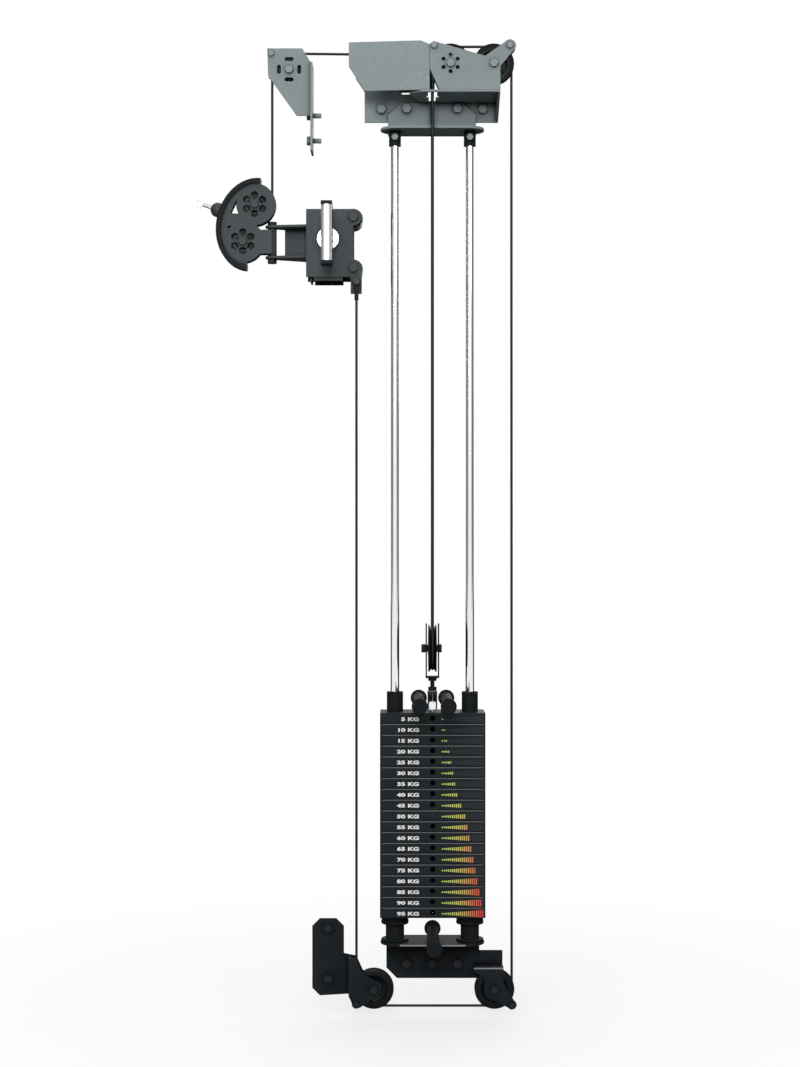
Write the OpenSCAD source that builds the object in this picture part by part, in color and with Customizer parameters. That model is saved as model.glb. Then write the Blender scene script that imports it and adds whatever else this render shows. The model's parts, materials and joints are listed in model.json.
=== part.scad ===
// Rack mounted cable pulley station: weight stack, guide rods, pulley brackets,
// height-adjustable trolley with a swivelling pulley head, and one continuous cable.
// Heights are worked out above the floor; the origin is the middle base bolt, on the beam's near face.

/* [Rack it bolts to] */
// Width of a square upright
upright_w = 75; // [72:1:78]
// Clear gap between the two uprights
upright_gap = 417; // [410:1:430]
// Height of the base bolts above the floor
base_bolt_h = 130; // [125:1:135]
// Height of the top bolts above the floor
top_bolt_h = 2152; // [2000:1:2250]
// Distance between neighbouring beam bolts
bolt_pitch = 60; // [56:1:62]
// Radius of a frame bolt's shank
bolt_r = 6; // [5:0.5:6.5]
// Width of a frame bolt's head across its flats
bolt_af = 19; // [17:1:21]
// Height of a frame bolt's head
bolt_head = 8; // [6:0.5:10]

/* [Sheet metal] */
// Thickness of the plates bolted to the rack
sheet_t = 5; // [4:0.5:6]
// Thickness of the shelves that hold the guide rods
shelf_t = 6; // [5:0.5:8]
// Clearance of a bolt in its hole
bolt_slack = 0.3; // [0.2:0.1:0.6]

/* [Weight stack] */
// Width of a weight plate
plate_w = 244; // [230:1:250]
// Depth of a weight plate
plate_d = 100; // [90:1:102]
// Thickness of a weight plate
plate_t = 25; // [20:1:28]
// Seam between stacked weight plates
plate_seam = 0.4; // [0.3:0.1:0.8]
// Number of weight plates
plate_count = 19; // [12:1:20]
// Number of plates that the selector pin picks up
picked = 10; // [2:1:11]
// Height of the stack's underside above the floor
stack_h = 258; // [255:1:275]
// Radius of a selector hole
pin_hole_r = 6; // [5:0.25:6.5]
// Clearance of the pin in its holes
pin_slack = 0.4; // [0.3:0.1:0.6]

/* [Guide rods] */
// Radius of a guide rod
rod_r = 10; // [8:0.5:11]
// Distance between the two guide rods
rod_gap = 175; // [165:1:180]
// Distance of the guide rods in front of the beam's face
rod_out = 64; // [63:1:66]
// Clearance of a guide rod in a weight plate
rod_slack = 1; // [0.5:0.1:1.5]

/* [Cable and pulleys] */
// Radius of the cable
cable_r = 3; // [2:0.25:3.5]
// Clearance of the cable in a groove
cable_slack = 0.4; // [0.3:0.1:0.6]
// Radius at which the cable's middle runs on a pulley
run_r = 41; // [38:0.5:43]
// Radius of a frame pulley's rim
rim_r = 47; // [46:0.5:49]
// Radius of the two head pulleys' rims
head_rim_r = 44; // [43.5:0.5:45]
// Radius at which the cable runs on the stack pulley
stack_run_r = 48.5; // [47.5:0.5:49.5]
// Radius of the stack pulley's rim
stack_rim_r = 55.5; // [54:0.5:57]
// Width of a pulley
wheel_w = 19; // [17:0.5:20]
// Radius of a pulley's axle bolt
axle_r = 5; // [4:0.5:6]
// Running clearance of a bearing on its axle
axle_slack = 0.05; // [0.03:0.01:0.09]
// Gap between a pulley's bearing and the plate beside it
cheek_slack = 0.4; // [0.3:0.1:0.6]
// Width of an axle bolt's head across its flats
axle_af = 17; // [15:1:18]
// Height of an axle bolt's head
axle_head = 6; // [5:0.5:8]

/* [Trolley] */
// Height of the lock pin above the floor, at the top hole
trolley_h = 1845; // [1700:1:1850]
// Height of the trolley's front plate
trolley_plate_h = 161; // [150:1:170]
// Thickness of a nylon liner
liner_t = 5; // [4:0.5:6]
// Clearance of the liners on the upright
liner_slack = 0.5; // [0.3:0.1:1]
// Radius of a trolley roller
roller_r = 22; // [20:0.5:23]
// Distance between the two rollers' axles
roller_pitch = 120; // [110:1:130]
// Radius of the lock pin
lock_pin_r = 8; // [6:0.5:11]
// Travel of the lock pin
lock_travel = 22; // [15:1:25]
// Radius of the pull grip
grip_r = 12.5; // [10:0.5:14]
// Length of the pull grip
grip_len = 130; // [110:1:140]

/* [Swivel head] */
// Distance of the swivel axis from the upright's middle
swivel_out = 134; // [130:1:145]
// Distance of the swivel axis behind the upright's near face
swivel_in = 22; // [20:0.5:26]
// Height of the swivel arm, over both its plates
arm_h = 75; // [70:1:80]
// Radius of the swivel barrel
barrel_r = 10.9; // [10:0.1:11]
// Radius of the ball stop
ball_r = 17.5; // [16.5:0.25:18.5]
// Angle at which the cable leaves the head
exit_angle = 20; // [16:1:24]

/* [Rubber buffers and pegs] */
// Radius of a buffer column
buffer_r = 21.5; // [18:0.5:24]
// Radius of a buffer's top flange
buffer_flange_r = 32; // [28:0.5:34]
// Thickness of a buffer's top flange
buffer_flange_t = 12; // [8:1:14]
// Length of a band peg
peg_len = 240; // [160:5:245]
// Radius of a band peg's end flanges
peg_flange_r = 19; // [16:0.5:20]

/* [Hidden] */

PAINT_LIGHT = [0.54, 0.58, 0.58];
PAINT_SLATE = [0.33, 0.37, 0.37];
PAINT_BLACK = [0.13, 0.145, 0.155];
STACK_PAINT = [0.17, 0.175, 0.185];
RUBBER = [0.10, 0.105, 0.11];
NYLON = [0.09, 0.09, 0.095];
CHROME = [0.80, 0.82, 0.84];
ALUMINIUM = [0.74, 0.76, 0.78];
BOLT_STEEL = [0.30, 0.33, 0.34];

fine = 96;
round_fn = 48;

// Pulleys
hub_half = wheel_w / 2 + 1;
cheek_in = hub_half + cheek_slack;
bearing_r = 11;
groove_floor = cable_r + cable_slack;
// Gap between a cable's bend and its straight run, which leaves room for the slight turn there
bend_gap = 0.4;
axle_hole_r = axle_r + bolt_slack;
guard_bolt_r = 4;
guard_bolt_af = 13;

// Cable planes and pulley centres
up_x = upright_gap / 2 + upright_w / 2;
live_y = stack_run_r - rod_out;
dead_y = -stack_run_r - rod_out;
side_y = -17;
deck_z = top_bolt_h + 20;
axle_z = deck_z + 61;
live_z = deck_z + 66.5;
dead_x = run_r;
right_x = dead_x + 100;
swivel_x = -up_x - swivel_out;
swivel_y = swivel_in;
front_x = swivel_x + run_r;
front_z = top_bolt_h + 98;
skew = atan2(swivel_y - live_y, -front_x);
anchor_x = -up_x + upright_w / 2 + 30;
base_left_x = anchor_x + run_r;
base_right_x = 147;
base_wheel_z = base_bolt_h - 56;
near_plate_y = dead_y - cheek_in;
front_flange_x = -up_x - upright_w / 2 - sheet_t;
front_bolt_z = [front_z - 164, front_z - 104];
base_left_bolt_z = [base_bolt_h + 84.5, base_bolt_h - 35.5];
bolt_grip = 20;
shoulder = 0.2;

// Stack heights
stack_top = stack_h + plate_count * plate_t - plate_seam;
rest_top = stack_h + (plate_count - picked) * plate_t;
collar_top = stack_top + 46;
stem_r = 10.25;
stem_top = stack_top + 48;
peg_z = stack_top + 32.5;
peg_back_y = -rod_out - stem_r - 2;
stack_axle_z = stack_top + 147;
pin_z = rest_top + plate_t / 2;

// Base
base_shelf_z = base_bolt_h + 61;
base_shelf_top = base_shelf_z + shelf_t;

// Rod hanger
hanger_z = top_bolt_h - 64;
sleeve_r = 14;
sleeve_len = 35;

// Trolley
slide_in = liner_t + liner_slack;
trolley_bottom = trolley_h - 90;
trolley_top = trolley_bottom + trolley_plate_h;
trolley_near_y = -slide_in;
trolley_far_y = upright_w + slide_in;
roller_x = -up_x + upright_w / 2 + roller_r + liner_slack;
roller_top_z = trolley_top - 19.5;
roller_low_z = roller_top_z - roller_pitch;
anchor_z = trolley_bottom - 12;
ferrule_drop = 44;
roller_side = 5;
outer_x = -up_x - upright_w / 2 - slide_in;
plate_left = outer_x - sheet_t - 4;
grip_y = -108;
grip_end_w = 26;
arm_mid = trolley_h - 4;
arm_low = arm_mid - arm_h / 2;

// Head; the guard follows a tilted ellipse
guard_x = swivel_x - 45;
guard_z = arm_mid + 42;
guard_long = 110;
guard_short = 86;
guard_wall = 11;
guard_tilt = 75;
guard_half = 22;
guard_start = 80;
guard_end = 262;
swivel_pin_r = 6;
head_up_x = swivel_x - run_r;
head_up_z = arm_mid + 89;
head_low_x = head_up_x - 28;
head_low_z = head_up_z - 88;
exit_x = head_up_x - run_r * sin(exit_angle);
exit_z = head_up_z - run_r * cos(exit_angle);
exit_way = [-cos(exit_angle), 0, sin(exit_angle)];
ball_dist = 79.3;
ball_x = exit_x - ball_dist * cos(exit_angle);
ball_z = exit_z + ball_dist * sin(exit_angle);

// Turns heights above the floor into heights above the middle base bolt
module from_floor() translate([0, 0, -base_bolt_h]) children();

// Round bar along the depth, from y0 back to y1
module bar_y(r, y0, y1, fn = round_fn) translate([0, y0, 0]) rotate([-90, 0, 0])
  cylinder(r = r, h = y1 - y0, $fn = fn);

// Round bar across the width, from x0 to x1
module bar_x(r, x0, x1, fn = round_fn) translate([x0, 0, 0]) rotate([0, 90, 0])
  cylinder(r = r, h = x1 - x0, $fn = fn);

// Hexagonal head along the depth, af across its flats
module hex_y(af, y0, y1) translate([0, y0, 0]) rotate([-90, 0, 0])
  cylinder(d = af / cos(30), h = y1 - y0, $fn = 6);

// Hexagonal head across the width
module hex_x(af, x0, x1) translate([x0, 0, 0]) rotate([0, 90, 0])
  cylinder(d = af / cos(30), h = x1 - x0, $fn = 6);

// Upright plate with its outline in width and height, from front face y0 back by t
module plate_y(y0, t) translate([0, y0 + t, 0]) rotate([90, 0, 0]) linear_extrude(height = t) children();

// Upright plate with its outline in depth and height, from x0 across by t
module plate_x(x0, t) translate([x0, 0, 0]) rotate([90, 0, 90]) linear_extrude(height = t) children();

// Round-ended bar shape, w long and d wide, lying flat
module stadium(w, d) {
  square([w - d, d], center = true);
  for (side = [-1, 1])
    translate([side * (w - d) / 2, 0])
      circle(d = d, $fn = fine);
}

// Ring of n round holes
module hole_ring(n, ring_r, hole_r, fn = 24) for (k = [0:n - 1])
  rotate([0, 0, 90 + k * 360 / n])
    translate([ring_r, 0])
      circle(r = hole_r, $fn = fn);

// Pulley with a bearing, its axle along the depth
module wheel(rim, run) {
  floor_r = run - groove_floor;
  hub_r = bearing_r + 5;
  half_w = wheel_w / 2;
  rotate([90, 0, 0]) rotate_extrude($fn = fine)
    polygon([
      [bearing_r, -hub_half], [hub_r, -hub_half], [hub_r + 1.5, -4], [floor_r - 8, -4],
      [floor_r - 6, -half_w], [rim - 1, -half_w], [rim, -half_w + 1.5], [floor_r, -groove_floor - 0.4],
      [floor_r, groove_floor + 0.4], [rim, half_w - 1.5], [rim - 1, half_w], [floor_r - 6, half_w],
      [floor_r - 8, 4], [hub_r + 1.5, 4], [hub_r, hub_half], [bearing_r, hub_half]
    ]);
  difference() {
    bar_y(bearing_r, -hub_half, hub_half);
    bar_y(axle_r + axle_slack, -hub_half - 1, hub_half + 1);
  }
}

// Axle bolt along the depth: shank from y0 to y1, with a head in front and a nut behind
module axle_y(y0, y1) {
  bar_y(axle_r, y0, y1);
  hex_y(axle_af, y0 - axle_head, y0);
  hex_y(axle_af, y1, y1 + axle_head);
}

// Frame bolt head with a washer, standing in front of y0, with a shoulder to the frame and its shank to y1
module frame_bolt_y(y0, y1) {
  hex_y(bolt_af, y0 - bolt_head - 2, y0 - 2);
  bar_y(bolt_af * 0.62, y0 - 2, y0);
  bar_y(bolt_r + shoulder, y0, 0);
  bar_y(bolt_r, 0, y1);
}

// Cable round a pulley in the plane of width and height, from angle a0 by sweep
module cable_bend(run, a0, sweep) rotate([90, 0, 0]) rotate([0, 0, a0])
  rotate_extrude(angle = sweep, $fn = fine)
    translate([run, 0])
      circle(r = cable_r, $fn = 24);

// Straight bar from point a to point b, short of each by gap
module bar_between(a, b, r, gap = 0) {
  d = b - a;
  len = norm(d);
  translate(a)
    rotate([0, acos(d[2] / len), atan2(d[1], d[0])])
      translate([0, 0, gap])
        cylinder(r = r, h = len - 2 * gap, $fn = 24);
}

// Frame of the live pulley, turned to face the front bracket; its plane is y = 0
module skewed() translate([0, live_y, 0]) rotate([0, 0, -skew]) children();

// Top brackets

module top_beam_bracket() color(PAINT_LIGHT) from_floor() {
  front = near_plate_y - sheet_t;
  left = -2 * bolt_pitch - 39.5;
  right = right_x + 15;
  plate_y(-sheet_t, sheet_t) difference() {
    polygon([
      [left, deck_z - 51], [left, deck_z + 28], [-80, deck_z + 28], [-70, deck_z + 16],
      [-30, deck_z + 16], [-22, deck_z], [right, deck_z], [right, deck_z - 51]
    ]);
    for (k = [-2, -1, 1, 2])
      translate([k * bolt_pitch, top_bolt_h])
        circle(r = bolt_r + bolt_slack, $fn = round_fn);
  }
  translate([0, 0, deck_z - sheet_t]) linear_extrude(height = sheet_t) difference() {
    polygon([[-25, front], [-55, front + 22], [-24, 0], [right, 0], [right, front]]);
    translate([-10.5, dead_y - 8]) square([21, 52]);
    translate([0, -rod_out]) circle(r = 18, $fn = round_fn);
    translate([-8, -rod_out]) square([16, rod_out + live_y + 8]);
  }
  plate_x(right - sheet_t, sheet_t)
    polygon([[0, deck_z - 51], [-20, deck_z - 51], [front, deck_z - 6], [front, deck_z], [0, deck_z]]);
}

// Outline shared by the two plates that hold the centre and right-hand pulleys
module top_plate_outline(left_low) difference() {
  union() {
    polygon([
      [-7, deck_z + 49], [left_low, deck_z], [right_x + 15, deck_z], [right_x + 15, deck_z + 54],
      [right_x + 49, deck_z + 95], [right_x + 28, deck_z + 112], [right_x - 20, deck_z + 78],
      [2, deck_z + 112], [-7, deck_z + 106]
    ]);
    translate([right_x + 37, deck_z + 102]) circle(r = 14, $fn = round_fn);
  }
  for (x = [dead_x, right_x])
    translate([x, axle_z])
      circle(r = axle_hole_r, $fn = round_fn);
  for (x = [3, right_x + 37])
    translate([x, deck_z + 102])
      circle(r = guard_bolt_r + bolt_slack, $fn = round_fn);
}

module top_front_plate() color(PAINT_LIGHT) from_floor() plate_y(near_plate_y - sheet_t, sheet_t)
  difference() {
    top_plate_outline(15);
    translate([dead_x, axle_z]) hole_ring(6, 19, 4.5);
  }

module top_rear_plate() color(PAINT_LIGHT) from_floor() plate_y(dead_y + cheek_in, sheet_t)
  top_plate_outline(15);

module live_pulley_housing() color(PAINT_LIGHT) from_floor() skewed() difference() {
  front = near_plate_y - sheet_t - live_y;
  union() {
    plate_y(front, sheet_t) polygon([
      [5, deck_z], [5, deck_z + 105], [-15, deck_z + 114], [-183, deck_z + 114],
      [-183, deck_z + 57], [-146, deck_z]
    ]);
    plate_y(cheek_in, sheet_t) polygon([
      [5, deck_z + 22], [5, deck_z + 105], [-15, deck_z + 114], [-183, deck_z + 114],
      [-183, deck_z + 57], [-160, deck_z + 22]
    ]);
    translate([-34, front + 1, deck_z]) cube([22, 46, sheet_t]);
    for (post = [[-165, 85], [-100, 38]])
      translate([post[0], 0, deck_z + post[1]])
        bar_y(8, front + 1, cheek_in + 1);
    translate([-run_r, 0, live_z]) bar_y(axle_r + 4, front + 1, -cheek_in);
  }
  translate([-run_r, 0, live_z]) bar_y(axle_hole_r, -cheek_in - 30, cheek_in + sheet_t + 1);
}

module rod_hanger() color(PAINT_LIGHT) from_floor() {
  top = deck_z - sheet_t - 1;
  half = rod_gap / 2 + 16.5;
  plate_y(-2 * sheet_t, sheet_t) difference() {
    polygon([
      [half - 31, top], [half, top - 28], [half, hanger_z], [-half, hanger_z],
      [-half, top - 28], [31 - half, top]
    ]);
    for (side = [-1, 1])
      translate([side * bolt_pitch, top_bolt_h])
        circle(r = bolt_r + bolt_slack, $fn = round_fn);
  }
  translate([0, 0, hanger_z]) linear_extrude(height = shelf_t) difference() {
    union() {
      translate([0, -rod_out]) stadium(rod_gap + 67, 84);
      translate([-half, -rod_out]) square([2 * half, rod_out - sheet_t]);
    }
    translate([0, live_y]) circle(r = cable_r + 5, $fn = round_fn);
  }
}

module hanger_sleeves() color(PAINT_BLACK) from_floor() for (side = [-1, 1])
  translate([side * rod_gap / 2, -rod_out, hanger_z - sleeve_len])
    difference() {
      cylinder(r = sleeve_r, h = sleeve_len, $fn = round_fn);
      translate([0, 0, -1]) cylinder(r = rod_r, h = sleeve_len + 2, $fn = round_fn);
    }

module guide_rods() color(CHROME) from_floor() for (side = [-1, 1])
  translate([side * rod_gap / 2, -rod_out, base_shelf_top])
    cylinder(r = rod_r, h = hanger_z - base_shelf_top, $fn = round_fn);

// Outline of the plates of the front top bracket, with its lower edge at height low
module front_outline(low) difference() {
  polygon([
    [front_x - 52, front_z + 50], [front_x + 31, front_z + 50], [front_flange_x, front_z + 18],
    [front_flange_x, low], [front_x + 18, low], [front_x - 50, front_z - 15]
  ]);
  translate([front_x, front_z]) circle(r = axle_hole_r, $fn = round_fn);
  translate([front_x - 43, front_z + 38]) circle(r = guard_bolt_r + bolt_slack, $fn = round_fn);
}

module front_top_bracket() color(PAINT_LIGHT) from_floor() {
  plate_y(swivel_y - cheek_in - sheet_t, sheet_t) difference() {
    front_outline(front_z - 110);
    for (k = [0:3])
      translate([front_x, front_z])
        rotate(90 * k)
          translate([24, 0])
            rotate(90)
              stadium(21, 9);
  }
  plate_y(swivel_y + cheek_in, sheet_t) front_outline(front_z - 60);
  plate_x(front_flange_x, sheet_t) difference() {
    translate([0, front_z - 193]) square([upright_w, 210]);
    for (z = front_bolt_z)
      translate([upright_w / 2, z])
        circle(r = bolt_r + bolt_slack, $fn = round_fn);
  }
}

// Base brackets

module base_beam_bracket() color(PAINT_BLACK) from_floor() {
  left = -rod_gap / 2 - 20.5;
  plate_y(-sheet_t, sheet_t) difference() {
    union() {
      polygon([
        [left, base_shelf_z], [left, base_bolt_h - 10], [left + 25, base_bolt_h - 35],
        [base_right_x + 20, base_bolt_h - 35], [base_right_x + 20, base_bolt_h + 31],
        [base_right_x - 35, base_bolt_h + 31], [base_right_x - 35, base_shelf_z]
      ]);
      translate([base_right_x - 25, base_wheel_z - 14]) square([45, 40]);
    }
    for (k = [-1:1])
      translate([k * bolt_pitch, base_bolt_h])
        circle(r = bolt_r + bolt_slack, $fn = round_fn);
    translate([base_right_x, base_wheel_z]) circle(r = axle_hole_r, $fn = round_fn);
  }
  translate([0, 0, base_shelf_z]) linear_extrude(height = shelf_t) {
    translate([0, -rod_out]) stadium(rod_gap + 67, 92);
    translate([left, -rod_out]) square([-2 * left, rod_out]);
  }
}

module base_right_cheek() color(PAINT_BLACK) from_floor() {
  front = side_y - cheek_in - sheet_t;
  shelf_h = base_bolt_h - 8;
  plate_y(front, sheet_t) difference() {
    union() {
      polygon([
        [base_right_x - 49, shelf_h + sheet_t], [base_right_x + 21, shelf_h + sheet_t],
        [base_right_x + 21, base_wheel_z + 18], [base_right_x + 51, base_wheel_z - 35],
        [base_right_x + 36, base_wheel_z - 45], [base_right_x - 14, base_wheel_z - 19],
        [base_right_x - 24, base_wheel_z - 6], [base_right_x - 24, base_wheel_z + 28],
        [base_right_x - 49, shelf_h - 6]
      ]);
      translate([base_right_x + run_r, base_wheel_z - 36]) circle(r = 11, $fn = round_fn);
    }
    translate([base_right_x, base_wheel_z]) circle(r = axle_hole_r, $fn = round_fn);
    translate([base_right_x + run_r, base_wheel_z - 36])
      circle(r = guard_bolt_r + bolt_slack, $fn = round_fn);
  }
  translate([base_right_x - 49, front + 1, shelf_h]) cube([70, -front - 1 - sheet_t, sheet_t]);
}

module base_left_bracket() color(PAINT_BLACK) from_floor() {
  left = -up_x - upright_w / 2;
  top = base_bolt_h + 106.5;
  low = base_bolt_h - 76;
  fold_x = anchor_x - 18.5;
  front = side_y - cheek_in - sheet_t;
  plate_y(-sheet_t, sheet_t) difference() {
    polygon([
      [left, top - 18], [left + 18, top], [left + 57, top], [left + upright_w, top - 18],
      [left + upright_w, low + 100], [fold_x + 18, low + 94], [anchor_x + 15, base_wheel_z + 40],
      [base_left_x + 18, base_wheel_z + 16], [base_left_x + 18, base_wheel_z - 12],
      [fold_x, base_wheel_z - 16], [left + 18, low], [left, low + 18]
    ]);
    for (z = base_left_bolt_z)
      translate([-up_x, z])
        circle(r = bolt_r + bolt_slack, $fn = round_fn);
    translate([base_left_x, base_wheel_z]) circle(r = axle_hole_r, $fn = round_fn);
  }
  plate_y(front, sheet_t) difference() {
    union() {
      polygon([
        [fold_x, low + 94], [fold_x + 16, low + 94], [anchor_x + 13, base_wheel_z + 40],
        [base_left_x - 2, base_wheel_z + 24], [base_left_x + 18, base_wheel_z + 14],
        [base_left_x + 18, base_wheel_z - 8], [base_left_x + 6, base_wheel_z - 18],
        [anchor_x + 8, base_wheel_z - 43], [anchor_x - 10, base_wheel_z - 34], [fold_x, base_wheel_z - 16]
      ]);
      translate([anchor_x, base_wheel_z - 34]) circle(r = 11, $fn = round_fn);
    }
    translate([base_left_x, base_wheel_z]) circle(r = axle_hole_r, $fn = round_fn);
    translate([anchor_x, base_wheel_z - 34]) circle(r = guard_bolt_r + bolt_slack, $fn = round_fn);
  }
  translate([fold_x, front + 1, base_wheel_z - 16]) cube([sheet_t, -front - 2, low + 110 - base_wheel_z]);
}

module stack_buffers() color(RUBBER) from_floor() for (side = [-1, 1])
  translate([side * rod_gap / 2, -rod_out, 0])
    rotate_extrude($fn = fine)
      polygon([
        [rod_r, base_shelf_top], [buffer_r, base_shelf_top], [buffer_r, stack_h - buffer_flange_t - 3],
        [buffer_flange_r - 3, stack_h - buffer_flange_t], [buffer_flange_r, stack_h - buffer_flange_t + 3],
        [buffer_flange_r, stack_h - 3], [buffer_flange_r - 3, stack_h], [rod_r, stack_h]
      ]);

// Band peg: a spool that points forward from depth y0
module peg(y0) translate([0, y0, 0]) rotate([90, 0, 0]) rotate_extrude($fn = round_fn)
  polygon([
    [0, 0], [peg_flange_r, 0], [peg_flange_r, 6], [peg_flange_r - 2, 8], [peg_flange_r - 5, 10],
    [peg_flange_r - 6, 22], [peg_flange_r - 6, peg_len - 44], [peg_flange_r - 3, peg_len - 40],
    [peg_flange_r - 3, peg_len - 32], [peg_flange_r - 5, peg_len - 28], [peg_flange_r - 5, peg_len - 14],
    [peg_flange_r - 1, peg_len - 8], [peg_flange_r - 1, peg_len - 1.5], [peg_flange_r - 2.5, peg_len],
    [0, peg_len]
  ]);

module base_peg() color(PAINT_BLACK) from_floor() translate([0, 0, base_shelf_top + 31]) {
  peg(peg_back_y);
  translate([-12, peg_back_y, -31]) cube([24, 14, 43]);
}

// Bolts of the fixed frame

// Thin bolt that keeps the cable on a pulley, from y0 to y1, with a head at each end
module guard_bolt(y0, y1) {
  bar_y(guard_bolt_r, y0, y1);
  bar_y(guard_bolt_r + 3, y0 + sheet_t, y1 - sheet_t);
  hex_y(guard_bolt_af, y0 - 5, y0);
  hex_y(guard_bolt_af, y1, y1 + 5);
}

module top_axle_bolts() color(BOLT_STEEL) from_floor() {
  front = near_plate_y - sheet_t;
  back = dead_y + cheek_in + sheet_t;
  for (x = [dead_x, right_x])
    translate([x, 0, axle_z])
      axle_y(front, back);
  for (x = [3, right_x + 37])
    translate([x, 0, deck_z + 102])
      guard_bolt(front, back);
  skewed() translate([-run_r, 0, live_z]) {
    bar_y(axle_r, -cheek_in - 30, cheek_in + sheet_t);
    hex_y(axle_af, cheek_in + sheet_t, cheek_in + sheet_t + axle_head);
  }
  translate([front_x, swivel_y, front_z]) axle_y(-cheek_in - sheet_t, cheek_in + sheet_t);
  translate([front_x - 43, swivel_y, front_z + 38]) guard_bolt(-cheek_in - sheet_t, cheek_in + sheet_t);
}

module base_axle_bolts() color(PAINT_BLACK) from_floor() {
  front = side_y - cheek_in - sheet_t;
  for (x = [base_left_x, base_right_x])
    translate([x, 0, base_wheel_z])
      axle_y(front, 0);
  translate([anchor_x, 0, base_wheel_z - 34]) {
    bar_y(guard_bolt_r, front, side_y + 8);
    bar_y(guard_bolt_r + 1.8, front + sheet_t, side_y + 8);
    hex_y(guard_bolt_af, front - 5, front);
  }
  translate([base_right_x + run_r, 0, base_wheel_z - 36]) {
    bar_y(guard_bolt_r, front, side_y + 8);
    bar_y(guard_bolt_r + 3, front + sheet_t, side_y + 8);
    hex_y(guard_bolt_af, front - 5, front);
  }
}

module top_frame_bolts() color(BOLT_STEEL) from_floor() {
  for (side = [-1, 1]) {
    translate([side * bolt_pitch, 0, top_bolt_h]) frame_bolt_y(-2 * sheet_t, bolt_grip);
    translate([side * 2 * bolt_pitch, 0, top_bolt_h]) frame_bolt_y(-sheet_t, bolt_grip);
    translate([side * rod_gap / 2, -rod_out, hanger_z - sleeve_len + 19])
      hex_y(bolt_af - 5, -sleeve_r - 7, -sleeve_r);
  }
  for (z = front_bolt_z)
    translate([0, upright_w / 2, z]) {
      hex_x(bolt_af, front_flange_x - bolt_head - 2, front_flange_x - 2);
      bar_x(bolt_af * 0.62, front_flange_x - 2, front_flange_x);
      bar_x(bolt_r + shoulder, front_flange_x, front_flange_x + sheet_t);
      bar_x(bolt_r, front_flange_x + sheet_t, front_flange_x + sheet_t + bolt_grip);
    }
}

module base_frame_bolts() color(PAINT_BLACK) from_floor() {
  for (k = [-1:1])
    translate([k * bolt_pitch, 0, base_bolt_h])
      frame_bolt_y(-sheet_t, bolt_grip);
  for (z = base_left_bolt_z)
    translate([-up_x, 0, z])
      frame_bolt_y(-sheet_t, bolt_grip);
}

// Weight stack

// One weight plate with its underside at height z and a centre bore of radius centre_r
module weight_plate(z, centre_r) translate([0, -rod_out, z]) difference() {
  plate_x(-plate_w / 2, plate_w)
    polygon([
      [-plate_d / 2, 1], [1 - plate_d / 2, 0], [plate_d / 2, 0], [plate_d / 2, plate_t - plate_seam],
      [1 - plate_d / 2, plate_t - plate_seam], [-plate_d / 2, plate_t - plate_seam - 1]
    ]);
  for (side = [-1, 1])
    translate([side * rod_gap / 2, 0, -1])
      cylinder(r = rod_r + rod_slack, h = plate_t + 2, $fn = round_fn);
  translate([0, 0, -1]) cylinder(r = centre_r, h = plate_t + 2, $fn = round_fn);
  translate([0, 0, plate_t / 2]) bar_y(pin_hole_r, -plate_d / 2 - 1, 0);
}

module resting_plates() color(STACK_PAINT) from_floor() for (k = [0:plate_count - picked - 1])
  weight_plate(stack_h + k * plate_t, stem_r + rod_slack);

module picked_plates() color(STACK_PAINT) from_floor() for (k = [plate_count - picked:plate_count - 1])
  weight_plate(stack_h + k * plate_t, stem_r);

module selector_pin() color(PAINT_BLACK) from_floor() translate([0, -rod_out, pin_z])
  bar_y(pin_hole_r - pin_slack, -plate_d / 2 - 1, stem_r - 1);

module selector_stem() color(CHROME) from_floor() translate([0, -rod_out, 0]) {
  difference() {
    translate([0, 0, stack_h + 4]) cylinder(r = stem_r, h = stack_top - stack_h - 4, $fn = round_fn);
    for (k = [0:plate_count - 1])
      translate([0, 0, stack_h + (k + 0.5) * plate_t])
        bar_y(pin_hole_r, -stem_r - 1, stem_r + 1);
  }
  translate([0, 0, stack_top]) cylinder(r = stem_r + 1.2, h = stem_top - stack_top, $fn = 8);
}

module stack_collars() color(RUBBER) from_floor() for (side = [-1, 1])
  translate([side * rod_gap / 2, -rod_out, stack_top])
    difference() {
      cylinder(r = rod_r + 9, h = collar_top - stack_top, $fn = round_fn);
      translate([0, 0, -1])
        cylinder(r = rod_r + rod_slack / 2, h = collar_top - stack_top + 2, $fn = round_fn);
    }

module stack_pegs() color(PAINT_BLACK) from_floor() for (side = [-1, 1])
  translate([side * 32, 0, peg_z]) {
    peg(peg_back_y);
    translate([-12, peg_back_y, stack_top - peg_z]) cube([24, 14, peg_z - stack_top + 12]);
  }

module stack_fork() color(PAINT_BLACK) from_floor() translate([0, -rod_out, 0]) {
  base = stem_top + 30;
  top = stack_axle_z + stack_rim_r + 2.5;
  inner = wheel_w / 2 + 3.3;
  translate([0, 0, stem_top]) cylinder(r = 10, h = 9, $fn = 6);
  translate([0, 0, stem_top + 9]) cylinder(r = 5, h = base - stem_top - 16, $fn = round_fn);
  translate([0, 0, base - 7]) cylinder(r = 10, h = 7, $fn = 6);
  translate([-inner - 3, -15, base]) cube([2 * inner + 6, 30, 4]);
  for (side = [-1, 1])
    difference() {
      translate([side * (inner + 1.5) - 1.5, -15, base]) cube([3, 30, top - base]);
      translate([0, 0, stack_axle_z]) bar_x(axle_hole_r, side * (inner + 1.5) - 3, side * (inner + 1.5) + 3);
    }
}

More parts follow.
